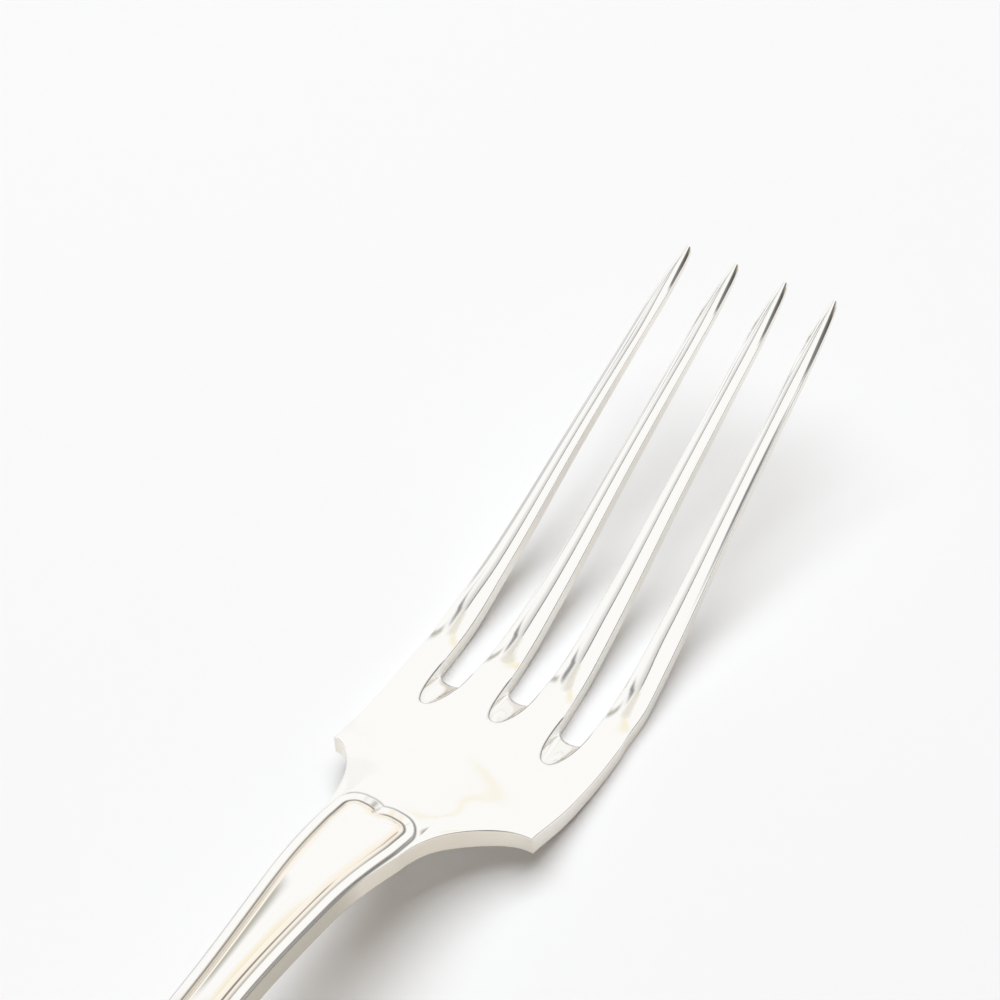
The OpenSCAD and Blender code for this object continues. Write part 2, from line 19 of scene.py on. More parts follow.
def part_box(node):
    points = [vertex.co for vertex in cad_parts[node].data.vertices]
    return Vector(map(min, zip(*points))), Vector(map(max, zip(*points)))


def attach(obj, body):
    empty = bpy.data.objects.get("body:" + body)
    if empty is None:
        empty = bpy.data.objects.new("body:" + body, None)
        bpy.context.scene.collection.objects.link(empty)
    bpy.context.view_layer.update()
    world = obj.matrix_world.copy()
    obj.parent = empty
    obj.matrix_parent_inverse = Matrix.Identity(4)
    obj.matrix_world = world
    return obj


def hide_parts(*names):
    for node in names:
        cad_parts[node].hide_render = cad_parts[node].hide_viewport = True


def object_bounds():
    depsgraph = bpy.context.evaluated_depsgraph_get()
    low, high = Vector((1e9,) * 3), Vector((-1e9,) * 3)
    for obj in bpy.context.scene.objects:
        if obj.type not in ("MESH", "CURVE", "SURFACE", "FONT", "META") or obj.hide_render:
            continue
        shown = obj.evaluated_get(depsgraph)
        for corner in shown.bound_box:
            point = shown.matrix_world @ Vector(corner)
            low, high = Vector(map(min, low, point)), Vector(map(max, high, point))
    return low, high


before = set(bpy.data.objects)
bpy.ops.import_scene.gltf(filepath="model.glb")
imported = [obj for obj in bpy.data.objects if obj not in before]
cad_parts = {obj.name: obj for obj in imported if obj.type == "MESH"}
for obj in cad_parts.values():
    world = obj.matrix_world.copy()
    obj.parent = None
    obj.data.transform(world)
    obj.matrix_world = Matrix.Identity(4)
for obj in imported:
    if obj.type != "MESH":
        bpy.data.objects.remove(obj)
cad_low, cad_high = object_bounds()
print("CAD box", cad_low, cad_high)

# %% [markdown]
# ## Millimetres, and the places along the fork
#
# Blender works in metres, but a fork is drawn in millimetres, so every size below is in millimetres
# and MM turns it into metres when a mesh is made. Places along the fork are counted from the
# shoulders: plus toward the points, minus toward the handle. The cuts between the regions come from
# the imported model, so that each region here ends where its solid does.

# %% Places
MM = 0.001
fork_length = (cad_high.y - cad_low.y) / MM
head_length = 73.0
shoulder_y = fork_length / 2 - head_length
handle_back = fork_length - head_length
grip_back = shoulder_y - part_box("handle")[1].y / MM
sweep_back = shoulder_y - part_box("stem")[1].y / MM
tine_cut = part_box("head")[1].y / MM - shoulder_y
print(f"grip cut {-grip_back:.2f}, heel cut {-sweep_back:.2f}, tine cut {tine_cut:.2f} mm")

neck_back = 0.166 * handle_back
arch_back = 0.275 * handle_back
fiddle_back = 0.575 * handle_back
fiddle_step = 0.038 * handle_back
pad_back = 0.908 * handle_back
foot_length = 4.0
heel_back = 9.6
sweep_mid_back = 3.0
rim_at = 5.0
slot_start = 10.0
middle_slot_step = 1.9
belly_at = 19.0
belly_flat = 3.0
tine_low_at = 29.5
tine_mid_at = 47.0

# %% [markdown]
# ## Curves that polished metal forgives
#
# Polish shows every kink: where the bend of a surface changes suddenly, a reflection breaks. A curve
# through stations without overshoot keeps the outline honest, but its bend still jumps at each
# station. Averaging it over a short stretch, as a polisher's wheel does, makes the bend change
# gently. The average gets narrower near the two ends, so that the ends stay in place.

# %% Smooth curves through stations
WHEEL = np.linspace(-1, 1, 15)
WHEEL_WEIGHT = np.cos(WHEEL * math.pi / 2) ** 2


def through(stations, places):
    """The value at each place of a curve through the stations that never overshoots them."""
    at, value = np.array(stations, float).T
    gap = np.diff(at)
    rate = np.diff(value) / gap
    slope = np.concatenate([rate[:1], np.zeros(len(gap) - 1), rate[-1:]])
    same_way = rate[:-1] * rate[1:] > 0
    slope[1:-1][same_way] = (2 * rate[:-1] * rate[1:])[same_way] / (rate[:-1] + rate[1:])[same_way]
    i = np.clip(np.searchsorted(at, places, side="right") - 1, 0, len(gap) - 1)
    t = (places - at[i]) / gap[i]
    return (value[i] * (1 + 2 * t) * (1 - t) ** 2 + gap[i] * slope[i] * t * (1 - t) ** 2
            + value[i + 1] * t ** 2 * (3 - 2 * t) + gap[i] * slope[i + 1] * t ** 2 * (t - 1))


def polished(stations, reach):
    """A curve through the stations, averaged over reach to each side."""
    first, last = stations[0][0], stations[-1][0]

    def value(places):
        places = np.clip(np.asarray(places, float), first, last)
        room = np.minimum(reach, np.minimum(places - first, last - places))
        total = sum(weight * through(stations, places + step * room)
                    for step, weight in zip(WHEEL, WHEEL_WEIGHT))
        return total / WHEEL_WEIGHT.sum()
    return value


def blend(a, b, t):
    """From a to b while t grows from 0 to 1."""
    return a + (b - a) * t


def between(a, b, s):
    """From 0 to 1 while s goes from a to b."""
    return np.clip((s - a) / (b - a), 0, 1)


def ease(t):
    """From 0 to 1 with no kink at either end."""
    t = np.clip(t, 0, 1)
    return t ** 3 * (6 * t ** 2 - 15 * t + 10)


print(f"a peak of 1 mm is {polished([[0, 0], [1, 1], [2, 0]], 0.5)(1):.3f} mm high after the wheel")


# %% [markdown]
# ## The side view
#
# Seen from the side the fork is a long wave: the end of the handle lies on the table, the stem
# arches, the head dips to its belly and the tines sweep up to their points. One curve gives the
# height of the underside over the table and another the thickness, so both faces follow one wave.
# Across, the head is bent down a little toward its two edges.

# %% Side view
underside_wave = polished([
    [-handle_back, 0], [foot_length - handle_back, 0], [-pad_back, 1.5], [-fiddle_back, 9.8],
    [-arch_back, 14], [-neck_back, 13.2], [-heel_back, 9.7], [0, 5.6], [slot_start, 1.9],
    [belly_at - belly_flat / 2, 0], [belly_at + belly_flat / 2, 0],
    [tine_low_at, 2.3], [tine_mid_at, 9.9], [head_length, 21.4]], 4.0)
thickness = polished([
    [-handle_back, 2], [-fiddle_back, 2.6], [-arch_back, 3.4], [-neck_back, 3.4], [-heel_back, 3.3],
    [0, 2.9], [slot_start, 2.6], [belly_at, 2.4], [tine_mid_at, 2], [head_length, 0.9]], 4.0)
droop = polished([
    [-handle_back, 0], [-neck_back, 0], [-heel_back, 3.2], [-sweep_mid_back, 3.3], [0, 2.3],
    [rim_at, 2.05], [slot_start, 1.25], [belly_at - belly_flat / 2, 0], [head_length, 0]], 2.5)
shoulder_half = 12.4


def underside(x, s):
    """Height of the underside over the table, before its relief."""
    return underside_wave(s) - droop(s) * (x / shoulder_half) ** 2


def top_face(x, s):
    return underside(x, s) + thickness(s)


print(f"arch {underside(0, -arch_back):.1f} mm over the table, shoulders {underside(0, 0):.1f} mm")


# %% [markdown]
# ## The plan of stem and handle
#
# From above the stem is a narrow waist that opens into the shoulders of the head at one end and
# steps out into the fiddle-shaped handle at the other. The thread is a fine raised line that runs
# just inside the edge. On the head it turns two round corners and dips at the middle, so that it
# ends in two lobes.

# %% Plan of stem, handle and thread
pad_half = 12.0
sweep_half_width = 4.9
edge_half = polished([
    [-pad_back, pad_half], [-fiddle_back - fiddle_step, 7.3], [-fiddle_back, 3.3],
    [-grip_back, 2.95], [-arch_back, 2.95], [-neck_back, 3.75], [-sweep_back, sweep_half_width]], 1.2)
margin = polished([[-handle_back, 0.15], [-neck_back, 0.12], [-sweep_back, 0.4]], 2.0)
thread_width = 0.4
thread_base = 1.05
thread_lean = 0.075
thread_height = 0.6
panel_height = 0.45
groove_depth = 0.3
groove_width = 0.8
panel_crown = 0.28
lobe_half = 4.55
lobe_back = 7.5
lobe_corner = 2.3
lobe_notch = 0.5
notch_half = 1.5


def thread_half(s):
    """Half width over the threads. It stays the same where the lobes end on the head."""
    on_stem = edge_half(s) - margin(s)
    return blend(on_stem, lobe_half, ease(between(-sweep_back, -lobe_back - lobe_corner, s)))


def lobe_end(x):
    """Where the thread ends on the head, with the dip at the middle."""
    return -lobe_back - lobe_notch * np.clip(1 - np.abs(x) / notch_half, 0, 1) ** 2


def inside_thread(x, s):
    """How far a point lies inside the outer line of the thread on stem and head."""
    side = thread_half(s) - np.abs(x)
    end = lobe_end(x) - s
    corner = lobe_corner - np.hypot(np.maximum(lobe_corner - side, 0), np.maximum(lobe_corner - end, 0))
    return np.where((side < lobe_corner) & (end < lobe_corner), corner, np.minimum(side, end))


print(f"stem {2 * edge_half(-arch_back):.1f} mm wide, threads on it {2 * thread_half(-arch_back):.1f} mm")


# %% [markdown]
# ## The panel inside the border
#
# Inside the thread lies the panel, softly crowned, with a fine groove at the foot of the thread. The
# panel stands higher than the edge outside. Toward the tines it flows into the bowl of the head, so
# its height fades out there, first beside the lobes and then in front of them. Only the distance to
# the thread decides the height, so one function serves the sides, the corners and both faces.

# %% Relief of the panel
fade_end = 8.0
flow_start_width = thread_base / 2
flow_width = 8.0
flow_start_back = sweep_back + 1
flow_end = 2.0
keel_stem_width = 6.0
keel_head_width = 3.0
keel_end = 3.0


def border_half(s):
    """Half width over the threads, carried on past the lobes."""
    return thread_half(np.minimum(s, -lobe_back))


def panel_shape(inside, half):
    """Groove and crown of the panel at a distance inside the outer line of the thread."""
    groove = groove_depth * (1 - ease((inside - thread_base) / groove_width))
    rise = np.clip((inside - thread_base) / half, 0, 1)
    return (panel_crown * (1 - (1 - rise) ** 2) - groove) * ease(inside / (thread_base / 2))


def relief(x, s):
    """Height over the edge of the blank, on stem and head."""
    fade = 1 - ease(between(-lobe_back, fade_end, s))
    width = blend(flow_start_width, flow_width, ease(between(-flow_start_back, flow_end, s)) ** 2)
    across = 1 - ease((np.abs(x) - (border_half(s) - thread_base / 2)) / width)
    return panel_height * fade * across + panel_shape(inside_thread(x, s), border_half(s) - thread_base)


def keel(x, s):
    """Depth that the back keeps for its own thread. It fades out beside the thread and under the bowl."""
    width = blend(keel_stem_width, keel_head_width, between(-sweep_back, -heel_back, s))
    beside = 1 - ease((np.abs(x) - border_half(s)) / width)
    return thread_height * (1 - ease(between(-lobe_back, keel_end, s))) * beside


print(f"panel {relief(0, -arch_back):.2f} mm over the edge on the stem, {relief(0, 0):.2f} on the head")


# %% [markdown]
# ## Meshes from rows of points
#
# Each surface is a grid of points: rows along the fork, columns across it. A mesh is welded from its
# grids, and the left half is the right half mirrored. The edges of a polished fork aren't sharp, so
# a narrow quarter round joins each face to the wall below it.

# %% Mesh helpers
ROUND = 5
COURSES = 8
STEPS_PER_MM = 20000
OTHER_SIDE = np.array([-1.0, 1.0, 1.0])
scoop_lip = 0.9
ramp_power = 1.5


def point(x, s, z):
    """Points from their places across and along the fork and their heights."""
    return np.stack(np.broadcast_arrays(x, s, z), -1).astype(float)


def round_over(face, wall):
    """Rows of points from the rim of a face over a quarter round to the top of its wall."""
    return [blend(face, wall, np.array([np.sin(a), np.sin(a), 1 - np.cos(a)]))
            for a in np.linspace(0, math.pi / 2, ROUND + 1)]


def skirt(top_face_rim, top_wall, low_wall, low_face_rim, scoop=0):
    """Grid from the rim of the top face over the edge, down the wall and in under the low face.

    Where scoop is 1, the wall is a ramp that ends in a lip over the underside. Where it is 0, it is plain.
    """
    rows = round_over(top_face_rim, top_wall)
    for i in range(1, COURSES):
        down = blend(i / COURSES, 1 - (1 - i / (COURSES - 1)) ** ramp_power, scoop)
        rows.append(blend(top_wall, low_wall, down) + np.array([0, 0, scoop_lip]) * scoop * down)
    return np.array(rows + round_over(low_face_rim, low_wall)[::-1])


def mirrored(grids):
    """The grids together with their mirror images."""
    return grids + [grid * OTHER_SIDE for grid in grids]


def placed(name, data):
    """A new object in the scene, from a mesh, a light or a camera."""
    made = bpy.data.objects.new(name, data)
    bpy.context.scene.collection.objects.link(made)
    return made


def turn_out(name, mesh):
    """Turns every face of a mesh outward, and prints how many edges are open."""
    tidy = bmesh.new()
    tidy.from_mesh(mesh)
    bmesh.ops.recalc_face_normals(tidy, faces=tidy.faces)
    open_edges = sum(len(edge.link_faces) != 2 for edge in tidy.edges)
    tidy.to_mesh(mesh)
    tidy.free()
    print(f"{name}: {len(mesh.vertices)} points, {len(mesh.polygons)} faces, {open_edges} open edges")


def weld(name, grids, caps=()):
    """One closed mesh from grids in millimetres. Caps are rings that close a cut through the metal."""
    places, points, faces = {}, [], []

    def index(p):
        key = tuple(np.round(p * STEPS_PER_MM).astype(int))
        if key not in places:
            places[key] = len(points)
            points.append((p[0] * MM, (p[1] + shoulder_y) * MM, p[2] * MM))
        return places[key]

    for grid in grids:
        n = np.array([[index(p) for p in row] for row in grid])
        quads = np.stack([n[:-1, :-1], n[1:, :-1], n[1:, 1:], n[:-1, 1:]], -1).reshape(-1, 4)
        corners = [list(dict.fromkeys(quad)) for quad in quads.tolist()]
        faces += [face for face in corners if len(face) > 2]
    first_cap = len(faces)
    faces += [list(dict.fromkeys(index(p) for p in ring)) for ring in caps]
    mesh = bpy.data.meshes.new(name)
    mesh.from_pydata(points, [], faces)
    cap = mesh.attributes.new("cap", "BOOLEAN", "FACE")
    cap.data.foreach_set("value", [i >= first_cap for i in range(len(faces))])
    turn_out(name, mesh)
    return placed(name, mesh)


# %% [markdown]
# ## The stem
#
# The stem is the shank between handle and head. Seen from above it is nearly straight, so plain rows
# across it are enough. The columns crowd together at the groove, where the shape changes fast.

# %% Stem
STEM_ROWS = 47
PANEL_COLUMNS = 10
GROOVE_SHARES = [1, 0.75, 0.5, 0.25, 0]
THREAD_SHARES = [0.55, 0.12]
COLUMN_INSETS = [thread_base + groove_width * share for share in GROOVE_SHARES]
COLUMN_INSETS += [thread_base * share for share in THREAD_SHARES]
EDGE = PANEL_COLUMNS + len(COLUMN_INSETS)
edge_round = 0.15
low_edge_round = 0.3


def column_x(k, s):
    """Distance of column k from the middle of the stem."""
    if k < PANEL_COLUMNS:
        return (thread_half(s) - COLUMN_INSETS[0]) * k / PANEL_COLUMNS
    return thread_half(s) - COLUMN_INSETS[k - PANEL_COLUMNS]


def out_of(top):
    """The way out of the metal: up on the top face, down on the underside."""
    return 1 if top else -1


def round_of(top):
    """Radius of the round on the edge of a face."""
    return edge_round if top else low_edge_round


def blank(x, s, top):
    """Height of one face of the blank, before its relief."""
    return top_face(x, s) if top else underside(x, s) + keel(x, s)


def face_point(x, s, top):
    """Points on a finished face of stem or head."""
    return point(x, s, blank(x, s, top) + out_of(top) * relief(x, s))


def stem_rows(top):
    """Columns of the stem from its middle to the rim of a face."""
    columns = [face_point(column_x(k, stem_places), stem_places, top) for k in range(EDGE)]
    rim = edge_half(stem_places) - round_of(top)
    return np.stack(columns + [point(rim, stem_places, blank(rim, stem_places, top))], 1)


def plain_skirt(top_rows, low_rows, x, s):
    """Skirt of stem or handle, whose wall stands at x, s."""
    top_wall, low_wall = (point(x, s, blank(x, s, top) - out_of(top) * round_of(top))
                          for top in (True, False))
    return skirt(top_rows[:, -1], top_wall, low_wall, low_rows[:, -1])


def section_ring(top_row, side, low_row):
    """The whole outline of a cut: across the top, down the right, back along the underside."""
    half = np.concatenate([top_row, side[1:-1], low_row[::-1]])
    return np.concatenate([half, half[::-1] * OTHER_SIDE])


stem_places = np.linspace(-grip_back, -sweep_back, STEM_ROWS + 1)
stem_top, stem_low = stem_rows(True), stem_rows(False)
stem_skirt = plain_skirt(stem_top, stem_low, edge_half(stem_places), stem_places)
stem = weld("silver_stem", mirrored([stem_top, stem_low, stem_skirt]), [
    section_ring(stem_top[i], stem_skirt[:, i], stem_low[i]) for i in (0, -1)])

# %% [markdown]
# ## The handle
#
# The handle swells, so straight rows would cut its border at a slant. Here each row starts at a
# point of the outline and runs square to it as far as the panel, then straight to the middle. Round
# the end the same rows fan out, and the last one closes on the middle line.

# %% Handle
HANDLE_ROWS = 150
END_ROWS = 40
stem_panel_half = border_half(-grip_back) - thread_base
panel_half = polished([
    [-handle_back, 9], [-fiddle_back - fiddle_step, 6], [-fiddle_back + fiddle_step, stem_panel_half],
    [-grip_back, stem_panel_half]], 4.0)


def left_of(ways):
    """Unit directions square to the given ones, to their left."""
    return np.stack([-ways[:, 1], ways[:, 0]], 1) / np.hypot(ways[:, 0], ways[:, 1])[:, None]


end_angle = np.linspace(math.pi / 2, 0, END_ROWS + 1)[:-1]
run = np.linspace(-pad_back, -grip_back, HANDLE_ROWS + 1)
outline = np.concatenate([
    np.stack([pad_half * np.cos(end_angle), -pad_back - (handle_back - pad_back) * np.sin(end_angle)], 1),
    np.stack([edge_half(run), run], 1)])
inward = left_of(np.gradient(outline, axis=0))
inward[0] = (0, 1)
inward[-1] = (-1, 0)
thread_line = outline + inward * margin(outline[:, 1])[:, None]


def handle_rows(top):
    """Columns from the middle to the rim, for every point of the outline."""
    panel = thread_line + inward * COLUMN_INSETS[0]
    reach = np.hypot(panel[:, 0], panel[:, 1] + pad_back)
    columns = []
    for k in range(EDGE):
        if k < PANEL_COLUMNS:
            x, s = panel[:, 0] * k / PANEL_COLUMNS, panel[:, 1]
            inside = COLUMN_INSETS[0] + np.where(
                s < -pad_back, reach - np.hypot(x, s + pad_back), (panel[:, 0] - x) * np.abs(inward[:, 0]))
        else:
            inside = COLUMN_INSETS[k - PANEL_COLUMNS]
            x, s = (thread_line + inward * inside).T
        lift = panel_height * (1 - ease((thread_base / 2 - inside) / flow_start_width))
        lift = lift + panel_shape(inside, panel_half(s))
        columns.append(point(x, s, blank(x, s, top) + out_of(top) * lift))
    x, s = (outline + inward * round_of(top)).T
    return np.stack(columns + [point(x, s, blank(x, s, top))], 1)


handle_top, handle_low = handle_rows(True), handle_rows(False)
handle_skirt = plain_skirt(handle_top, handle_low, *outline.T)
handle = weld("silver_handle", mirrored([handle_top, handle_low, handle_skirt]), [
    section_ring(handle_top[-1], handle_skirt[:, -1], handle_low[-1])])

# %% [markdown]
# ## The head: its plan
#
# The head is a plate between the curved shoulders and the ends of three slots. Its columns start on
# the stem and the shoulders and end on the slots, so the mesh flows the way the metal does. The
# slots end in long scoops on the top face and in half circles underneath, where the saw went in.

# %% Plan of the head
SLOT_FACES = 14
STRIP = 12
INNER_SLOT_EDGE = SLOT_FACES
OUTER_SLOT = INNER_SLOT_EDGE + STRIP
OUTER_STRIP = OUTER_SLOT + 2 * SLOT_FACES
RIM = OUTER_STRIP + STRIP
BORDER_ROWS = 18
PLATE_ROWS = 44
STUB_ROWS = 16

head_half = 13.25
root_pitch = 7.75
point_pitch = 6.45
tine_root_width = 4.1
tine_front_width = 1.9
taper_power = 2.0
point_width = 0.4
point_length = 9.0
point_thick = 0.9
tine_crown = 0.45
tine_lean = 0.117
scoop_length = 5.0
slot_round = 0.16
tine_round = 0.2
sweep_x_power = 1.55
sweep_s_power = 1.5
slot_half = (root_pitch - tine_root_width) / 2
outer_centre = slot_start + scoop_length + slot_half
middle_centre = outer_centre + middle_slot_step
lobe_room = 0.7
plate_start = -lobe_back + lobe_room


def pitch(s):
    """Distance between the middles of two tines."""
    return blend(root_pitch, point_pitch, between(outer_centre, head_length, s))


def tine_half(s):
    """Half width of a tine, which narrows fast at its root and ends in a rounded point."""
    body = blend(tine_front_width, tine_root_width,
                 (1 - between(outer_centre, head_length - point_length, s)) ** taper_power)
    tip = between(head_length - point_length, head_length, s)
    return blend(body, point_width, 1 - np.sqrt(1 - tip ** 2 * (1 - (point_width / body) ** 2))) / 2


def sweep(share):
    """The curved shoulder, from the stem at 0 to its square corner at 1, and the way into the metal."""
    x = blend(sweep_half_width, shoulder_half, share ** sweep_x_power)
    s = -sweep_back * (1 - share) ** sweep_s_power
    dx = share ** (sweep_x_power - 1) * sweep_x_power * (shoulder_half - sweep_half_width)
    ds = (1 - share) ** (sweep_s_power - 1) * sweep_s_power * sweep_back
    return np.array([x, s]), np.array([-ds, dx]) / math.hypot(dx, ds)


def shoulder_share(k):
    """How far along the shoulder column k starts."""
    return (k - EDGE) / (RIM - EDGE)


def back_plan(k, inset):
    """Where column k starts, drawn in by inset from the edge."""
    place, way_in = sweep(shoulder_share(k))
    return place + way_in * inset - np.array([inset * shoulder_share(k) ** 4, 0])


def front_plan(k, top, inset, side_inset):
    """Where column k ends, at the slots. The slots grow by inset."""
    half = slot_half + inset
    reach = (scoop_length if top else 0) + half
    if k <= INNER_SLOT_EDGE:
        a = math.pi / 2 * k / INNER_SLOT_EDGE
        return np.array([half * math.sin(a), middle_centre - reach * math.cos(a)])
    if k <= OUTER_SLOT:
        t = (k - INNER_SLOT_EDGE) / STRIP
        return np.array([blend(half, root_pitch - half, t), blend(middle_centre, outer_centre, t)])
    if k <= OUTER_STRIP:
        a = math.pi * (k - OUTER_SLOT) / (OUTER_STRIP - OUTER_SLOT)
        return np.array([root_pitch - half * math.cos(a), outer_centre - reach * math.sin(a)])
    t = (k - OUTER_STRIP) / STRIP
    return np.array([blend(root_pitch + half, head_half - side_inset, t), outer_centre])


# %% [markdown]
# ## The head: its faces
#
# Rows near the stem stay straight, to carry the end of the panel, and further on they spread over
# the bowl. The same plan serves both faces, with narrower rounds on the top edges, which a polisher
# keeps crisp, than on the underside.

# %% Faces of the head
rim_share = 0.03
crowding = 6
curl_share = 0.6
stem_pull = 1.4
round_growth = 6
border_places = np.linspace(-sweep_back, plate_start, BORDER_ROWS + 1)


def head_plan(top, slot_inset, edge_inset, stem_inset):
    """Plan of one face of the head as rows and columns of [x, s], drawn in from its edges."""
    rows = np.zeros((BORDER_ROWS + PLATE_ROWS + 1, RIM + 1, 2))
    t = np.linspace(0, 1, PLATE_ROWS + 1)[1:]
    curl = ease(t) * curl_share + t * (1 - curl_share)
    beside_plate = front_plan(EDGE, top, slot_inset, edge_inset)[1]
    first = (plate_start + sweep_back) / (beside_plate + sweep_back)
    for k in range(RIM + 1):
        end = front_plan(k, top, slot_inset, edge_inset)
        if k < EDGE:
            x, s = column_x(k, border_places), border_places
            far_x, far_s = blend(x[-1], end[0], curl), blend(s[-1], end[1], t)
        else:
            share = shoulder_share(k)
            start = back_plan(k, blend(stem_inset, edge_inset, ease(share * round_growth)))
            crossing = rim_share + (first - rim_share) * (1 - share) ** crowding
            near = crossing * np.arange(BORDER_ROWS + 1) / BORDER_ROWS
            far = blend(crossing, 1, t)
            beside_stem = 1 - share ** stem_pull
            x = blend(start[0], end[0], (1 - beside_stem) * np.sin(math.pi / 2 * near))
            s = blend(start[1], end[1], near)
            across = beside_stem * curl + (1 - beside_stem) * np.sin(math.pi / 2 * far)
            far_x, far_s = blend(start[0], end[0], across), blend(start[1], end[1], far)
        rows[:, k, 0] = np.concatenate([x, far_x])
        rows[:, k, 1] = np.concatenate([s, far_s])
    return rows


top_plan = head_plan(True, slot_round, tine_round, edge_round)
low_plan = head_plan(False, low_edge_round, low_edge_round, low_edge_round)
head_top = face_point(top_plan[..., 0], top_plan[..., 1], True)
head_low = face_point(low_plan[..., 0], low_plan[..., 1], False)
print("points along and across the head", top_plan.shape[:2])

# %% [markdown]
# ## The head: its walls, scoops and the stubs of the tines
#
# Every edge gets the same treatment: over the round, down the wall and under. At the end of a slot
# the wall leans out into a scoop, a shallow ramp that ends in a lip. Beyond the slots the head goes on
# as four stubs, where the flat root turns into the crowned section of a tine.

# %% Walls of the head
scoop_power = 0.4
SCOOPS = [slice(0, INNER_SLOT_EDGE + 1), slice(OUTER_SLOT, OUTER_STRIP + 1)]
top_wall_plan = head_plan(True, 0, 0, 0)
low_wall_plan = head_plan(False, 0, 0, 0)


def wall_point(x, s, top, amount):
    """Where a wall begins: a place on a face, moved into the metal by the round of its edge."""
    place = face_point(x, s, top)
    place[..., 2] -= out_of(top) * amount
    return place


def edge_skirt(rows, columns, round_top):
    """Skirt of the head along one row or one column of its plan."""
    top, low = top_wall_plan[rows, columns], low_wall_plan[rows, columns]
    scoop = np.clip((low[:, 1] - top[:, 1]) / scoop_length, 0, 1) ** scoop_power
    return skirt(head_top[rows, columns], wall_point(*top.T, True, round_top),
                 wall_point(*low.T, False, low_edge_round), head_low[rows, columns], scoop[:, None])


shoulder_rounds = blend(edge_round, tine_round, ease(shoulder_share(np.arange(EDGE, RIM + 1)) * round_growth))
shoulder_skirt = edge_skirt(0, slice(EDGE, None), shoulder_rounds)
rim_skirt = edge_skirt(slice(None), RIM, tine_round)
scoops = [edge_skirt(-1, columns, slot_round) for columns in SCOOPS]


def stub(first, place):
    """Grids of the stub at a place, in pitches from the middle, and the ring where its tine goes on."""
    q = np.linspace(0, 1, STUB_ROWS + 1)[:, None]
    t = np.linspace(-1, 1, STRIP + 1)

    def rows(start, across, inset):
        s = blend(start[:, 1], tine_cut, q)
        law = pitch(s) * place + (tine_half(s) - inset) * across
        at_start = pitch(start[:, 1]) * place + (tine_half(start[:, 1]) - inset[0]) * across
        return law + (start[:, 0] - at_start) * (1 - ease(q)), s

    span = slice(first, first + STRIP + 1)
    top = face_point(*rows(top_plan[-1, span], t, blend(slot_round, tine_round, ease(q))), True)
    top[..., 2] += tine_crown * (1 - t ** 2) * ease(q)
    low = face_point(*rows(low_plan[-1, span], t, low_edge_round + 0 * q), False)
    outer_round = tine_round if first == OUTER_STRIP else slot_round
    rounds = blend(np.array([slot_round, outer_round]), tine_round, ease(q))
    sides = slice(first, first + STRIP + 1, STRIP)
    wall_top = wall_point(*rows(top_wall_plan[-1, sides], t[::STRIP], 0 * q), True, rounds)
    wall_low = wall_point(*rows(low_wall_plan[-1, sides], t[::STRIP], 0 * q), False, low_edge_round)
    skirts = [skirt(top[:, j], wall_top[:, j], wall_low[:, j], low[:, j]) for j in (0, -1)]
    ring = np.concatenate([top[-1], skirts[1][1:-1, -1], low[-1][::-1], skirts[0][1:-1, -1][::-1]])
    return [top, low] + skirts, ring


inner_stub, inner_ring = stub(INNER_SLOT_EDGE, 1 / 2)
outer_stub, outer_ring = stub(OUTER_STRIP, 3 / 2)
heel_ring = section_ring(head_top[0, :EDGE + 1], shoulder_skirt[:, 0], head_low[0, :EDGE + 1])
head = weld("silver_head",
            mirrored([head_top, head_low, shoulder_skirt, rim_skirt] + scoops + inner_stub + outer_stub),
            [heel_ring] + mirrored([inner_ring, outer_ring]))

# %% [markdown]
# ## Writing node trees as calls
#
# A node tree drawn by hand is hard to read in a script. Two helpers keep it short. The first adds a
# node of a type, sets what belongs to the node itself, and then links or sets its sockets. The
# second wraps an output socket, so that a sum written in Python becomes Math nodes.

# %% Node helpers
def plug(tree, socket, value):
    """Links a socket to a field, a socket or a node's first output, or gives it a plain value."""
    if isinstance(value, Field):
        value = value.source
    if isinstance(value, bpy.types.Node):
        value = value.outputs[0]
    if isinstance(value, bpy.types.NodeSocket):
        tree.links.new(value, socket)
    else:
        socket.default_value = value


def add(tree, kind, settings=None, sockets=None):
    """Adds a node of a type, with its settings first and then the values or links of its sockets."""
    node = tree.nodes.new(kind)
    for name, value in (settings or {}).items():
        setattr(node, name, value)
    for name, value in (sockets or {}).items():
        plug(tree, node.inputs[name], value)
    return node


class Field:
    """A number that changes over a surface. Sums with it add Math nodes to its tree."""

    def __init__(self, tree, source):
        self.tree, self.source = tree, source

    def math(self, operation, *others):
        node = add(self.tree, "ShaderNodeMath", {"operation": operation})
        for socket, value in zip(node.inputs, (self, *others)):
            plug(self.tree, socket, value)
        return Field(self.tree, node)

    def __rsub__(self, other):
        return (self * -1) + other

    def __rtruediv__(self, other):
        return self.math("POWER", -1.0) * other

    __add__ = __radd__ = partialmethod(math, "ADD")
    __mul__ = __rmul__ = partialmethod(math, "MULTIPLY")
    __sub__ = partialmethod(math, "SUBTRACT")
    __truediv__ = partialmethod(math, "DIVIDE")
    __pow__ = partialmethod(math, "POWER")
    __abs__ = partialmethod(math, "ABSOLUTE")
    greater = partialmethod(math, "MAXIMUM")

    def clamped(self):
        return self.greater(0.0).math("MINIMUM", 1.0)

    def part_of(self, length):
        """From 0 to 1 while the number grows from 0 to a length."""
        return (self / length).clamped()


def parts(tree, vector):
    """X, Y and Z of a vector as fields."""
    return [Field(tree, part) for part in add(tree, "ShaderNodeSeparateXYZ", {}, {0: vector}).outputs]


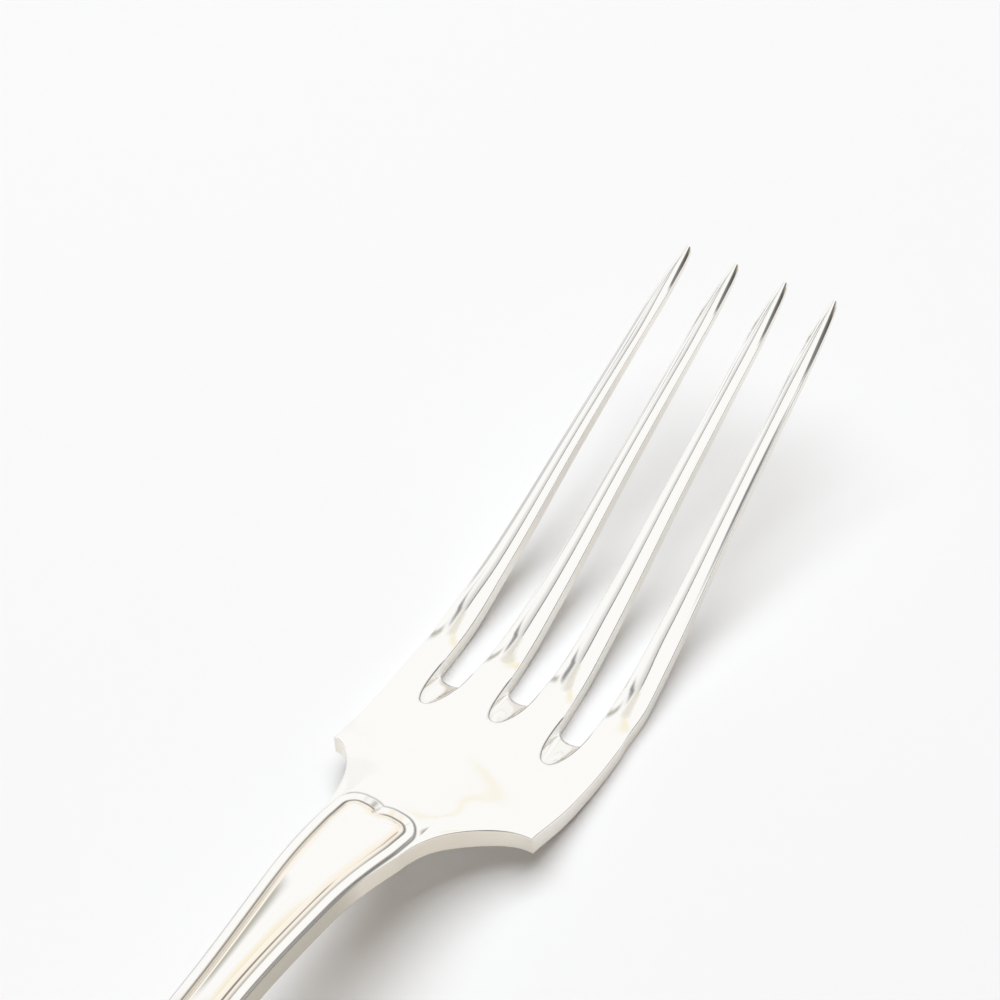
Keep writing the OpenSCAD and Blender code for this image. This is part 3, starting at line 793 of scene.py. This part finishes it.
def geometry_tree(name, sizes):
    """A Geometry Nodes tree with a geometry input and an input for each named size."""
    tree = bpy.data.node_groups.new(name, "GeometryNodeTree")
    kinds = {label: "Int" if isinstance(size, int) else "Float" for label, size in sizes.items()}
    for label, kind in {"Geometry": "Geometry", **kinds}.items():
        tree.interface.new_socket(label, in_out="INPUT", socket_type=f"NodeSocket{kind}")
    tree.interface.new_socket("Geometry", in_out="OUTPUT", socket_type="NodeSocketGeometry")
    entry = tree.nodes.new("NodeGroupInput")
    return tree, {socket.name: Field(tree, socket) for socket in entry.outputs if socket.name}


def end_tree(tree, geometry, material):
    """Ends a tree: instances made real, and the material set."""
    real = add(tree, "GeometryNodeRealizeInstances", {}, {"Geometry": geometry})
    painted = add(tree, "GeometryNodeSetMaterial", {}, {"Geometry": real, "Material": material})
    add(tree, "NodeGroupOutput", {}, {0: painted})


def run_tree(source, tree, sizes, name):
    """The plain mesh that a tree makes of an object, as a new object in its place."""
    modifier = source.modifiers.new("nodes", "NODES")
    modifier.node_group = tree
    for item in tree.interface.items_tree:
        if item.in_out == "INPUT" and item.name in sizes:
            modifier[item.identifier] = sizes[item.name]
    bpy.context.view_layer.update()
    evaluated = source.evaluated_get(bpy.context.evaluated_depsgraph_get())
    mesh = bpy.data.meshes.new_from_object(evaluated)
    source.modifiers.remove(modifier)
    bpy.data.objects.remove(source)
    return placed(name, mesh)


# %% [markdown]
# ## The tines
#
# The four tines are one bar, bent and tapered by one rule. The bar starts as a straight prism: X is
# the place across it from -1 to 1, Z the height in it from 0 to 1, and Y is already the place along
# the fork. Its section is the section that the stub ends in. The tree repeats the bar four times and
# moves every point by the rule: the tines close in toward the points, narrow down and end blunt.

# %% A straight bar for the tines
TINES = 4
TINE_ROWS = 84
TIP_ROWS = 6
tip_round = 0.35
row_power = 1.5
lean_start = 7.0
tip_length = 14.0
tip_crown = 1.9


def read(items, label, kind=float, width=1):
    """A value of every item of a mesh, as an array."""
    values = np.zeros(len(items) * width, kind)
    items.foreach_get(label, values)
    return values.reshape(-1, width) if width > 1 else values


def keep(mesh, label, values):
    """Stores a number on every point of a mesh."""
    layer = mesh.attributes.new(label, "FLOAT", "POINT")
    layer.data.foreach_set("value", np.asarray(values, np.float32))


def straight_bar():
    """The bar as an object, with the heights of the side view stored on its points."""
    root_thick = thickness(tine_cut)
    t = (inner_ring[:, 0] - pitch(tine_cut) / 2) / tine_half(tine_cut)
    h = (inner_ring[:, 2] - underside_wave(tine_cut)) / (root_thick + tine_crown * (1 - t ** 2))
    far = 1 - (1 - np.linspace(0, 1, TINE_ROWS + 1)) ** row_power
    a = np.linspace(0, math.pi / 2, TIP_ROWS + 1)[1:]
    shrink = np.concatenate([np.ones(TINE_ROWS + 1), np.cos(a)])[:, None]
    s = np.concatenate([blend(tine_cut, head_length - tip_round, far),
                        head_length - tip_round * (1 - np.sin(a))])[:, None]
    rows = point(t * shrink, s, 0.5 + (h - 0.5) * shrink) * np.array([1 / MM, 1, 1 / MM])
    bar = weld("bar", [np.concatenate([rows, rows[:, :1]], 1)], [rows[0]])
    y = read(bar.data.vertices, "co", width=3)[:, 1] / MM - shoulder_y
    sunk = np.clip(1 - tine_half(y) / (tine_front_width / 2), 0, 1) * point_thick / 2
    tip = ease(between(head_length - tip_length, head_length, y))
    keep(bar.data, "rise", underside_wave(y) * MM)
    keep(bar.data, "thick", (thickness(y) - sunk) * MM)
    keep(bar.data, "crown", tine_crown * thickness(y) / root_thick * (1 + tip_crown * tip) * MM)
    keep(bar.data, "lean", ease(between(tine_cut, tine_cut + lean_start, y)) * (1 - tip))
    return bar


# %% The rule of the tines
def silver():
    """The one material of the fork, made when it is first asked for."""
    return bpy.data.materials.get("Silver") or bpy.data.materials.new("Silver")


STORED = ("place", "rise", "thick", "crown", "lean")
tine_sizes = {
    "Root Place": (outer_centre + shoulder_y) * MM, "Point Place": (head_length + shoulder_y) * MM,
    "Root Spacing": root_pitch * MM, "Point Spacing": point_pitch * MM,
    "Root Width": tine_root_width * MM, "Front Width": tine_front_width * MM, "Taper Power": taper_power,
    "Point Width": point_width * MM, "Point Length": point_length * MM, "Lean": tine_lean * MM,
    "Tines": TINES}
tine_tree, rule = geometry_tree("tines", tine_sizes)
line = add(tine_tree, "GeometryNodeMeshLine", {}, {"Count": rule["Tines"], "Offset": (0, 0, 0)})
order = Field(tine_tree, add(tine_tree, "GeometryNodeInputIndex"))
bars = add(tine_tree, "GeometryNodeInstanceOnPoints", {}, {"Points": line, "Instance": rule["Geometry"]})
marked = add(tine_tree, "GeometryNodeStoreNamedAttribute", {"data_type": "FLOAT", "domain": "INSTANCE"},
             {"Geometry": bars, "Name": "place", "Value": order - (rule["Tines"] - 1) / 2})
real = add(tine_tree, "GeometryNodeRealizeInstances", {}, {"Geometry": marked})
across, along, up = parts(tine_tree, add(tine_tree, "GeometryNodeInputPosition"))


def stored(label):
    """A number that the bar keeps on its points."""
    return Field(tine_tree, add(tine_tree, "GeometryNodeInputNamedAttribute",
                                {"data_type": "FLOAT"}, {"Name": label}))


root_place = rule["Root Place"]
point_start = rule["Point Place"] - rule["Point Length"]
behind = along - root_place
spacing = blend(rule["Root Spacing"], rule["Point Spacing"], behind.part_of(rule["Point Place"] - root_place))
body_width = blend(rule["Front Width"], rule["Root Width"],
                   (1 - behind.part_of(point_start - root_place)) ** rule["Taper Power"])
tip = (along - point_start).part_of(rule["Point Length"])
narrow = rule["Point Width"] / body_width
taper = 1 - (1 - tip * tip * (1 - narrow * narrow)).math("SQRT")
width = blend(body_width, rule["Point Width"], taper)
place, rise, thick, crown, lean = (stored(label) for label in STORED)
height = rise + up * (thick + crown * (1 - across * across)) - rule["Lean"] * (place * across * lean)
bent = add(tine_tree, "ShaderNodeCombineXYZ", {}, {
    "X": spacing * place + width / 2 * across, "Y": along, "Z": height})
moved = add(tine_tree, "GeometryNodeSetPosition", {}, {"Geometry": real, "Position": bent})
end_tree(tine_tree, moved, silver())
tines = run_tree(straight_bar(), tine_tree, tine_sizes, "tines")
print("nodes in the tree of the tines", len(tine_tree.nodes))


# %% Four tines, each a piece of its own
def take_tine(number):
    mesh = tines.data.copy()
    place = read(mesh.attributes["place"].data, "value") + (TINES + 1) / 2
    cutter = bmesh.new()
    cutter.from_mesh(mesh)
    others = [v for v, at in zip(list(cutter.verts), place) if round(at) != number]
    bmesh.ops.delete(cutter, geom=others, context="VERTS")
    cutter.to_mesh(mesh)
    cutter.free()
    for label in STORED:
        mesh.attributes.remove(mesh.attributes[label])
    turn_out(f"silver_tine_{number}", mesh)
    return placed(f"silver_tine_{number}", mesh)


tine_pieces = [take_tine(number) for number in range(1, TINES + 1)]
bpy.data.objects.remove(tines)

# %% [markdown]
# ## The raised thread
#
# The thread is a moulding of one section that follows the outline, so it is made as one: a small
# profile carried along a path. The path runs round the handle, up the stem, round the two corners of
# the lobes and down into the notch between them. It is a closed loop, so the moulding has no ends.

# %% Path of the thread
NOTCH_POINTS = 12
CORNER_POINTS = 14
SIDE_POINTS = 90


def thread_path(top):
    """The middle line of the thread as a closed loop of points, for one face of the fork."""
    centre = thread_base / 2
    turn = lobe_corner - centre
    corner = np.array([lobe_half - lobe_corner, -lobe_back - lobe_corner])
    x = np.linspace(0, corner[0], NOTCH_POINTS)[:-1]
    across = np.stack([x, lobe_end(x) - centre], 1)
    a = np.linspace(math.pi / 2, 0, CORNER_POINTS)
    bend = corner + turn * np.stack([np.cos(a), np.sin(a)], 1)
    places = np.linspace(corner[1], -grip_back, SIDE_POINTS)[1:]
    side = np.stack([thread_half(places) - centre, places], 1)
    round_handle = (thread_line + inward * centre)[::-1][1:]
    round_handle[-1, 0] = 0
    half = np.concatenate([across, bend, side, round_handle])
    x, s = np.concatenate([half, (half * np.array([-1, 1]))[-2:0:-1]]).T
    return point(x, s, blank(x, s, top))


def path_object(points, name):
    """A loop of edges through points given in millimetres."""
    mesh = bpy.data.meshes.new(name)
    count = len(points)
    moved = (points + np.array([0, shoulder_y, 0])) * MM
    mesh.from_pydata(moved.tolist(), [(i, (i + 1) % count) for i in range(count)], [])
    return placed(name, mesh)


# %% The tree that carries the profile
FILLET_POINTS = 6
thread_sunk = 0.3
thread_fillet = 0.15
thread_sizes = {
    "Foot Width": thread_base * MM, "Top Width": thread_width * MM, "Lean": thread_lean * MM,
    "Height": thread_height * MM, "Sunk": thread_sunk * MM, "Fillet": thread_fillet * MM}
thread_tree, sizes = geometry_tree("thread", thread_sizes)
high, sunk = abs(sizes["Height"]), sizes["Sunk"]
section = add(thread_tree, "GeometryNodeCurvePrimitiveQuadrilateral", {"mode": "TRAPEZOID"}, {
    "Bottom Width": sizes["Foot Width"], "Top Width": sizes["Top Width"], "Offset": sizes["Lean"],
    "Height": high + sunk})
soft = add(thread_tree, "GeometryNodeFilletCurve", {"mode": "POLY"}, {
    "Curve": section, "Radius": sizes["Fillet"], "Limit Radius": True, "Count": FILLET_POINTS})
shift = add(thread_tree, "ShaderNodeCombineXYZ", {}, {"Y": (high - sunk) / 2})
turned = add(thread_tree, "ShaderNodeCombineXYZ", {}, {"X": 1.0, "Y": sizes["Height"].math("SIGN"), "Z": 1.0})
profile = add(thread_tree, "GeometryNodeTransform", {}, {"Geometry": soft, "Translation": shift})
upright = add(thread_tree, "GeometryNodeTransform", {}, {"Geometry": profile, "Scale": turned})
path = add(thread_tree, "GeometryNodeMeshToCurve", {}, {"Mesh": sizes["Geometry"]})
level = add(thread_tree, "GeometryNodeSetCurveNormal", {"mode": "Z_UP"}, {"Curve": path})
moulding = add(thread_tree, "GeometryNodeCurveToMesh", {}, {"Curve": level, "Profile Curve": upright})
end_tree(thread_tree, moulding, silver())


def thread_piece(name, top):
    """The moulding on one face. Under the fork it hangs down."""
    made = run_tree(path_object(thread_path(top), name + "_path"), thread_tree,
                    {**thread_sizes, "Height": out_of(top) * thread_height * MM}, name)
    turn_out(name, made.data)
    return made


threads = [thread_piece("thread_front", True), thread_piece("thread_back", False)]
print("nodes in the tree of the thread", len(thread_tree.nodes))

# %% [markdown]
# ## One skin over all the regions
#
# The pieces meet edge to edge, and the metal shows no joint there. Each point takes the average
# direction of the faces round it, weighted by their area, and points that meet across a cut take the
# same average. The caps on the cuts are left out of it, so a reflection runs on over every joint.

# %% Directions shared across the cuts
meeting_gap = 0.005
SHORTEST = 1e-20


def finder(points):
    """A tree that finds the nearest of many points."""
    tree = KDTree(len(points))
    for i, p in enumerate(points):
        tree.insert(p, i)
    tree.balance()
    return tree


def corner_fields(mesh):
    """Points of a mesh, and for each face corner its point, direction, area and whether it is on a cap."""
    owner = np.repeat(np.arange(len(mesh.polygons)), read(mesh.polygons, "loop_total", int))
    cap = np.zeros(len(owner), bool)
    if "cap" in mesh.attributes:
        cap = read(mesh.attributes["cap"].data, "value", bool)[owner]
    return (read(mesh.vertices, "co", width=3), read(mesh.loops, "vertex_index", int),
            read(mesh.polygons, "normal", width=3)[owner], read(mesh.polygons, "area")[owner], cap)


def share_directions(objects):
    """Sets smooth directions on the objects, the same on both sides of every cut."""
    fields = [corner_fields(o.data) for o in objects]
    firsts = np.cumsum([0] + [len(field[0]) for field in fields])
    corner_point = np.concatenate([field[1] + first for field, first in zip(fields, firsts)])
    points, normal, area, cap = (np.concatenate([field[i] for field in fields]) for i in (0, 2, 3, 4))
    total = np.zeros_like(points)
    np.add.at(total, corner_point, np.where(cap, 0, area)[:, None] * normal)
    ring = np.unique(corner_point[cap])
    near = finder(points[ring])
    total[ring] = [sum(total[ring[j]] for _, j, _ in near.find_range(p, meeting_gap * MM))
                   for p in points[ring]]
    length = np.maximum(np.linalg.norm(total, axis=1, keepdims=True), SHORTEST)
    direction = np.where(cap[:, None], normal, (total / length)[corner_point])
    ends = np.cumsum([len(field[1]) for field in fields])
    for o, own in zip(objects, np.split(direction, ends)):
        o.data.polygons.foreach_set("use_smooth", [True] * len(o.data.polygons))
        o.data.normals_split_custom_set(own.tolist())
        o.data.update()
    print("points that meet across a cut", len(ring))


skin = [handle, stem, head] + tine_pieces
for o in skin + threads:
    o.data.materials.clear()
    o.data.materials.append(silver())
share_directions(skin + threads)

# %% [markdown]
# ## Where dark lines are painted
#
# The thin dark lines that polished silver shows at the foot of the thread, on its outer line and at the
# rim of a scoop are reflections of dark surroundings and shade, and here they are painted into the
# colour. Painting that by eye would never follow the border, so every point of the metal stores how far
# it lies inside the outer line of the thread, and how close it is to a rim. The material turns the two
# numbers into painted dark lines, and the first one also into a painted warm reflection.

# %% Distances for the painted dark lines
LINE_STEPS = 12
RIM_STEPS = 8
rim_contrast = 3


def finely(line, count):
    """The points of a line with more points between them."""
    t = np.linspace(0, 1, count + 1)[:-1, None, None]
    return blend(line[:-1], line[1:], t).transpose(1, 0, 2).reshape(-1, line.shape[1])


loop = thread_path(True) * np.array([1, 1, 0])
middle_line = finely(np.concatenate([loop, loop[:1]]), LINE_STEPS)
way_inside = -left_of(np.roll(middle_line, -1, axis=0) - np.roll(middle_line, 1, axis=0))
near_thread = finder(middle_line)
rims = [finely(face_point(*top_wall_plan[-1, columns].T, True), RIM_STEPS) for columns in SCOOPS]
near_rim = finder(np.concatenate(mirrored(rims)))

for o in skin + threads:
    spots = read(o.data.vertices, "co", width=3) / MM - np.array([0, shoulder_y, 0])
    nearest = np.array([near_thread.find((x, s, 0))[1] for x, s, z in spots])
    aside = ((spots - middle_line[nearest])[:, :2] * way_inside[nearest]).sum(1)
    # These two numbers place the painted dark lines and the painted warm reflection.
    keep(o.data, "inside_thread", thread_base / 2 + aside)
    to_rim = np.array([near_rim.find(p)[2] if o is head else slot_round for p in spots])
    keep(o.data, "rim", np.clip((slot_round - to_rim) / slot_round * rim_contrast, 0, 1))
print("points that know their distance", sum(len(o.data.vertices) for o in skin + threads))

# %% [markdown]
# ## Polished silver
#
# Silver is a near-white metal with a touch of warmth. Years on the table leave hairline scratches
# along and across it, and a little roughness. The scratches are a bump from two stretched noises in
# the space of the object, so they stay with the metal when it turns. The walls are a little rougher
# than the faces, and a painted reflection of the shaded table makes them darker and warmer, most of
# all toward the handle. A painted warm reflection lies in a band inside the thread, and the thin dark
# lines are painted reflection and shade.

# %% Helpers for the silver
material = silver()
material.use_nodes = True
tree = material.node_tree
tree.nodes.clear()
spot = add(tree, "ShaderNodeTexCoord")


def stretched(scale, detail):
    """Noise over the metal, with a size of its own in each direction."""
    laid = add(tree, "ShaderNodeMapping", {}, {"Vector": spot.outputs["Object"], "Scale": scale})
    return Field(tree, add(tree, "ShaderNodeTexNoise", {}, {"Vector": laid, "Scale": 1.0, "Detail": detail}))


def kept(label):
    """A number that the pieces keep on their points."""
    return Field(tree, add(tree, "ShaderNodeAttribute", {"attribute_name": label}).outputs["Fac"])


def mix(amount, a, b):
    """Colour a turning into colour b."""
    return add(tree, "ShaderNodeMix", {"data_type": "RGBA"}, {0: amount, 6: a, 7: b}).outputs[2]


def stripe(distance, width):
    """1 on a line, falling to 0 a width away from it."""
    return (1 - abs(distance) / width).clamped()


# %% Silver
foot_stripe = 0.22
outer_stripe = 0.2
warm_inset = 0.45
warm_stripe = 0.7
clean_middle = 0.7
lobes_back = 9.6
dark_from_back = 16.0
dark_run = 6.0
dark_side = 4.0
wall_dark_to = 5.0
wall_dark_run = 10.0
steep = 0.6
wall_contrast = 3
fine_share = 0.6
wall_least, foot_least, outer_least = 0.5, 0.5, 0.45
foot_more, outer_more = 0.4, 0.4
rim_most, warm_most = 0.7, 0.8
polish, worn, brushed, line_roughness = 0.06, 0.06, 0.1, 0.2
# The metal's own colour, then the colours of a painted warm reflection inside the thread, of the painted
# reflection of the shaded table on the walls, and of the painted dark lines of reflection and shade.
SILVER, WARM_REFLECTION = (0.97, 0.96, 0.935, 1), (0.97, 0.86, 0.70, 1)
WALL_SHADE_REFLECTION, PAINTED_LINE_DARK = (0.72, 0.66, 0.56, 1), (0.08, 0.07, 0.06, 1)

along_it, across_it = stretched((9000, 350, 9000), 2.0), stretched((500, 7000, 3000), 2.0)
hairlines = along_it * fine_share + across_it * (1 - fine_share)
wear = stretched((90, 60, 90), 3.0)
bump = add(tree, "ShaderNodeBump", {}, {"Strength": 0.025, "Distance": 0.00002, "Height": hairlines})
across, along, _ = parts(tree, spot.outputs["Object"])
right, ahead = across / MM, along / MM - shoulder_y
wall = ((steep - abs(parts(tree, spot.outputs["Normal"])[2])) * wall_contrast).clamped()
# Painted reflection of the shaded table on the walls, strongest toward the handle.
wall_shade_reflection = wall * (wall_least + (1 - wall_least) * (wall_dark_to - ahead).part_of(wall_dark_run))
inside = kept("inside_thread")
# Painted shade and reflection: a dark line at the foot of the thread, stronger near the lobes than along the
# stem, and left out at the middle of the notch.
off_notch = abs(right).part_of(clean_middle).greater((-lobes_back - ahead).clamped())
foot_line_shade = stripe(inside - thread_base, foot_stripe)
foot_line_shade *= (foot_least + foot_more * (ahead + dark_from_back).part_of(dark_run)) * off_notch
# Painted shade and reflection: a dark line on the outer foot of the thread, darker toward +X.
outer_line_shade = stripe(inside, outer_stripe) * (outer_least + outer_more * right.part_of(dark_side))
# All the painted dark lines together, with the painted dark line at the scoop rims. They also make the metal
# rougher there.
painted_dark_lines = foot_line_shade.greater(outer_line_shade).greater(kept("rim") * rim_most)
# A painted warm reflection in a band just inside the foot of the thread.
warm_band_reflection = stripe(inside - thread_base - warm_inset, warm_stripe)
tone = mix(wall_shade_reflection, mix(warm_band_reflection * warm_most, SILVER, WARM_REFLECTION), WALL_SHADE_REFLECTION)
metal = add(tree, "ShaderNodeBsdfPrincipled", {}, {
    "Base Color": mix(painted_dark_lines, tone, PAINTED_LINE_DARK), "Metallic": 1.0,
    "Roughness": polish + wear * worn + wall * brushed + painted_dark_lines * line_roughness, "Normal": bump})
add(tree, "ShaderNodeOutputMaterial", {}, {0: metal})
print("nodes in the silver", len(tree.nodes))

# %% [markdown]
# ## A white table and soft light
#
# Polished metal shows its surroundings more than itself, so the light is built for the reflections:
# a white table, a white sky, one large soft lamp high over the fork, and a few soft-edged cards out
# of view. A darker card on one side of a bright one is what draws a line on silver. Cards are given
# by angles as the fork sees them, because a reflection only knows directions, and the studio round
# the fork is measured in metres.

# %% Floor
floor_half = 4
white_from = 0.25
white_run = 0.5
WHITE = (1, 1, 1, 1)
scene = bpy.context.scene
scene.view_settings.view_transform = "Standard"


def plain(name):
    """An empty material: its nodes, and the socket that takes its shader."""
    made = bpy.data.materials.new(name)
    made.use_nodes = True
    made.node_tree.nodes.clear()
    return made, made.node_tree, add(made.node_tree, "ShaderNodeOutputMaterial").inputs[0]


def sheet(name, material):
    """A square from -1 to 1, as a new object with the material."""
    mesh = bpy.data.meshes.new(name)
    mesh.from_pydata([(-1, -1, 0), (1, -1, 0), (1, 1, 0), (-1, 1, 0)], [], [(0, 1, 2, 3)])
    mesh.materials.append(material)
    made = placed(name, mesh)
    return made


def seen(tree):
    """1 for the rays that show a background: straight from the camera, mirrored or through glass."""
    ray = add(tree, "ShaderNodeLightPath")
    shows = [Field(tree, ray.outputs[f"Is {kind} Ray"]) for kind in ("Camera", "Glossy", "Transmission")]
    return (shows[0] + shows[1] + shows[2]).clamped()


def glow(tree, colour):
    """A shader that gives light by itself."""
    return add(tree, "ShaderNodeEmission", {}, {"Color": colour, "Strength": 1.0})


def mixed(tree, amount, a, b):
    """Shader a turning into shader b."""
    return add(tree, "ShaderNodeMixShader", {}, {0: amount, 1: a, 2: b})


paper, tree, face = plain("Paper")
matt = add(tree, "ShaderNodeBsdfPrincipled", {}, {"Base Color": (0.94, 0.94, 0.94, 1), "Roughness": 0.9})
spot = add(tree, "ShaderNodeTexCoord").outputs["Object"]
distance = add(tree, "ShaderNodeVectorMath", {"operation": "LENGTH"}, {0: spot}).outputs["Value"]
far = (Field(tree, distance) * floor_half - white_from).part_of(white_run)
plug(tree, face, mixed(tree, far * seen(tree), matt, glow(tree, WHITE)))
floor = sheet("floor", paper)
floor.scale = (floor_half, floor_half, 1)
print("floor", 2 * floor_half, "m wide")

# %% Sky
FILL = (1, 0.86, 0.70, 1)
fill_strength = 0.27
scene.world = scene.world or bpy.data.worlds.new("Sky")
scene.world.use_nodes = True
sky = scene.world.node_tree
sky.nodes.clear()
fill, white = (add(sky, "ShaderNodeBackground", {}, {"Color": colour, "Strength": strength})
               for colour, strength in ((FILL, fill_strength), (WHITE, 1.0)))
add(sky, "ShaderNodeOutputWorld", {}, {0: mixed(sky, seen(sky), fill, white)})
print("nodes in the sky", len(sky.nodes))

# %% Directions round the fork
stage_middle = Vector((0, 0.05, 0.01))
STANDING = Matrix(((-1, 0, 0), (0, 0, 1), (0, 1, 0)))


def turn_by(x, y, z):
    """A turn of so many degrees about X, then Y, then Z."""
    return Euler([math.radians(angle) for angle in (x, y, z)]).to_matrix()


def overhead(lean, reach):
    """The turn of a card over the fork, so many degrees from straight up toward +X and toward +Y."""
    return turn_by(-reach, lean, 0)


def around(bearing, height):
    """The turn of a card that stands round the fork, so many degrees from +Y toward +X and upward."""
    return turn_by(height, 0, -bearing) @ STANDING


print("over the fork is", overhead(0, 0).col[2], "and ahead of it is", around(0, 0).col[2])


# %% Lamp
lamp_distance = 1.6
lamp_size = 1.3
lamp_power = 26
DAYLIGHT = (0.90, 0.945, 1.0)
lamp_way = overhead(-8, 5).col[2]
light = bpy.data.lights.new("key_lamp", "AREA")
light.shape, light.size, light.energy, light.color = "SQUARE", lamp_size, lamp_power, DAYLIGHT
lamp = placed("key_lamp", light)
lamp.location = stage_middle + lamp_way * lamp_distance
lamp.rotation_euler = (-lamp_way).to_track_quat("-Z", "Y").to_euler()
lamp.visible_glossy = False
print("lamp at", lamp.location)

# %% Cards
card_distance = 2.4


def card(name, turn, spread, colour, density, soft):
    """A glowing card that covers spread degrees, soft toward its left, right, near and far edge."""
    made, tree, face = plain(name)
    across, along, _ = parts(tree, add(tree, "ShaderNodeTexCoord").outputs["Object"])
    left, right, near, far = (1 / edge for edge in soft)
    cover = (((across + 1) * left).clamped() * ((1 - across) * right).clamped()
             * ((along + 1) * near).clamped() * ((1 - along) * far).clamped()) * density
    plug(tree, face, mixed(tree, cover, add(tree, "ShaderNodeBsdfTransparent"), glow(tree, (*colour, 1))))
    width, length = (math.tan(math.radians(angle / 2)) * card_distance for angle in spread)
    flag = sheet(name, made)
    flag.matrix_world = (Matrix.Translation(stage_middle + turn.col[2] * card_distance)
                         @ (turn @ Matrix.Diagonal((width, length, 1))).to_4x4())
    flag.visible_camera = flag.visible_diffuse = flag.visible_shadow = False


GREY, DARK, BROWN = (0.42, 0.42, 0.42), (0.03, 0.03, 0.03), (0.30, 0.24, 0.18)
OLIVE, BEIGE, YELLOW = (0.36, 0.35, 0.28), (0.70, 0.64, 0.50), (0.95, 0.86, 0.62)
CARDS = {
    "shade_over_tines": (overhead(-25, -1), (34, 24), GREY, 0.75, (1.9, 0.04, 0.3, 0.5)),
    "line_over_tines": (overhead(-11.5, -4), (5, 22), DARK, 0.9, (1.0, 0.3, 0.3, 0.3)),
    "edge_over_points": (overhead(66, 13), (36, 50), DARK, 0.8, (0.35, 0.3, 0.3, 0.3)),
    "leaf_line": (overhead(-42, 11), (34, 6), DARK, 0.75, (0.6, 0.6, 0.5, 0.5)),
    "leaf": (overhead(-12, 12), (30, 11), BEIGE, 0.55, (0.6, 0.6, 0.5, 0.5)),
    "near_side": (overhead(0, -54), (140, 64), DARK, 0.6, (0.4, 0.4, 0.5, 0.5)),
    "right_side": (around(85, 15), (110, 30), BROWN, 0.8, (0.3, 0.2, 0.01, 0.8)),
    "left_side": (around(-85, 9), (44, 18), GREY, 0.6, (0.3, 0.8, 0.01, 0.7)),
    "olive_over_stem": (overhead(-42, 25), (18, 18), OLIVE, 0.8, (0.9, 0.9, 0.4, 0.6)),
    "yellow_over_stem": (overhead(-8, 24), (18, 18), YELLOW, 0.75, (0.9, 0.9, 0.4, 0.6)),
    "ahead": (around(5, 15.5), (46, 3), YELLOW, 0.5, (0.4, 0.3, 0.6, 0.6))}
for name, look in CARDS.items():
    card(name, *look)
print("cards", len(CARDS))

# %% [markdown]
# ## The camera
#
# The camera stands to the right of the handle and high over it, and looks down across the head. Its
# place and its three angles were worked out from the outline of the fork in the photograph, together
# with the shape, because each of the two explains only half of what is seen.

# %% Camera
camera_place = Vector((71.616, -64.534, 177.523)) * MM
camera_heading = 33.4393
camera_tilt = 42.6387
camera_roll = -1.9569
lens = bpy.data.cameras.new("camera")
lens.sensor_width, lens.lens, lens.clip_start = 36, 71.1, 0.01
camera = placed("camera", lens)
camera_turn = turn_by(camera_tilt, 0, camera_heading) @ turn_by(0, 0, camera_roll)
camera.matrix_world = Matrix.Translation(camera_place) @ camera_turn.to_4x4()
scene.camera = camera
print("camera at", camera_place)

# %% [markdown]
# ## Which piece stands for which solid
#
# Each region takes the place of its solid in the frame. The threads are laid on the regions and take
# no solid's place.

# %% Hand over to the frame
for piece, node in zip(skin, ["handle", "stem", "head", "tine_1", "tine_2", "tine_3", "tine_4"]):
    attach(piece, "root")
    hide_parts(node)
for piece in threads:
    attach(piece, "root")
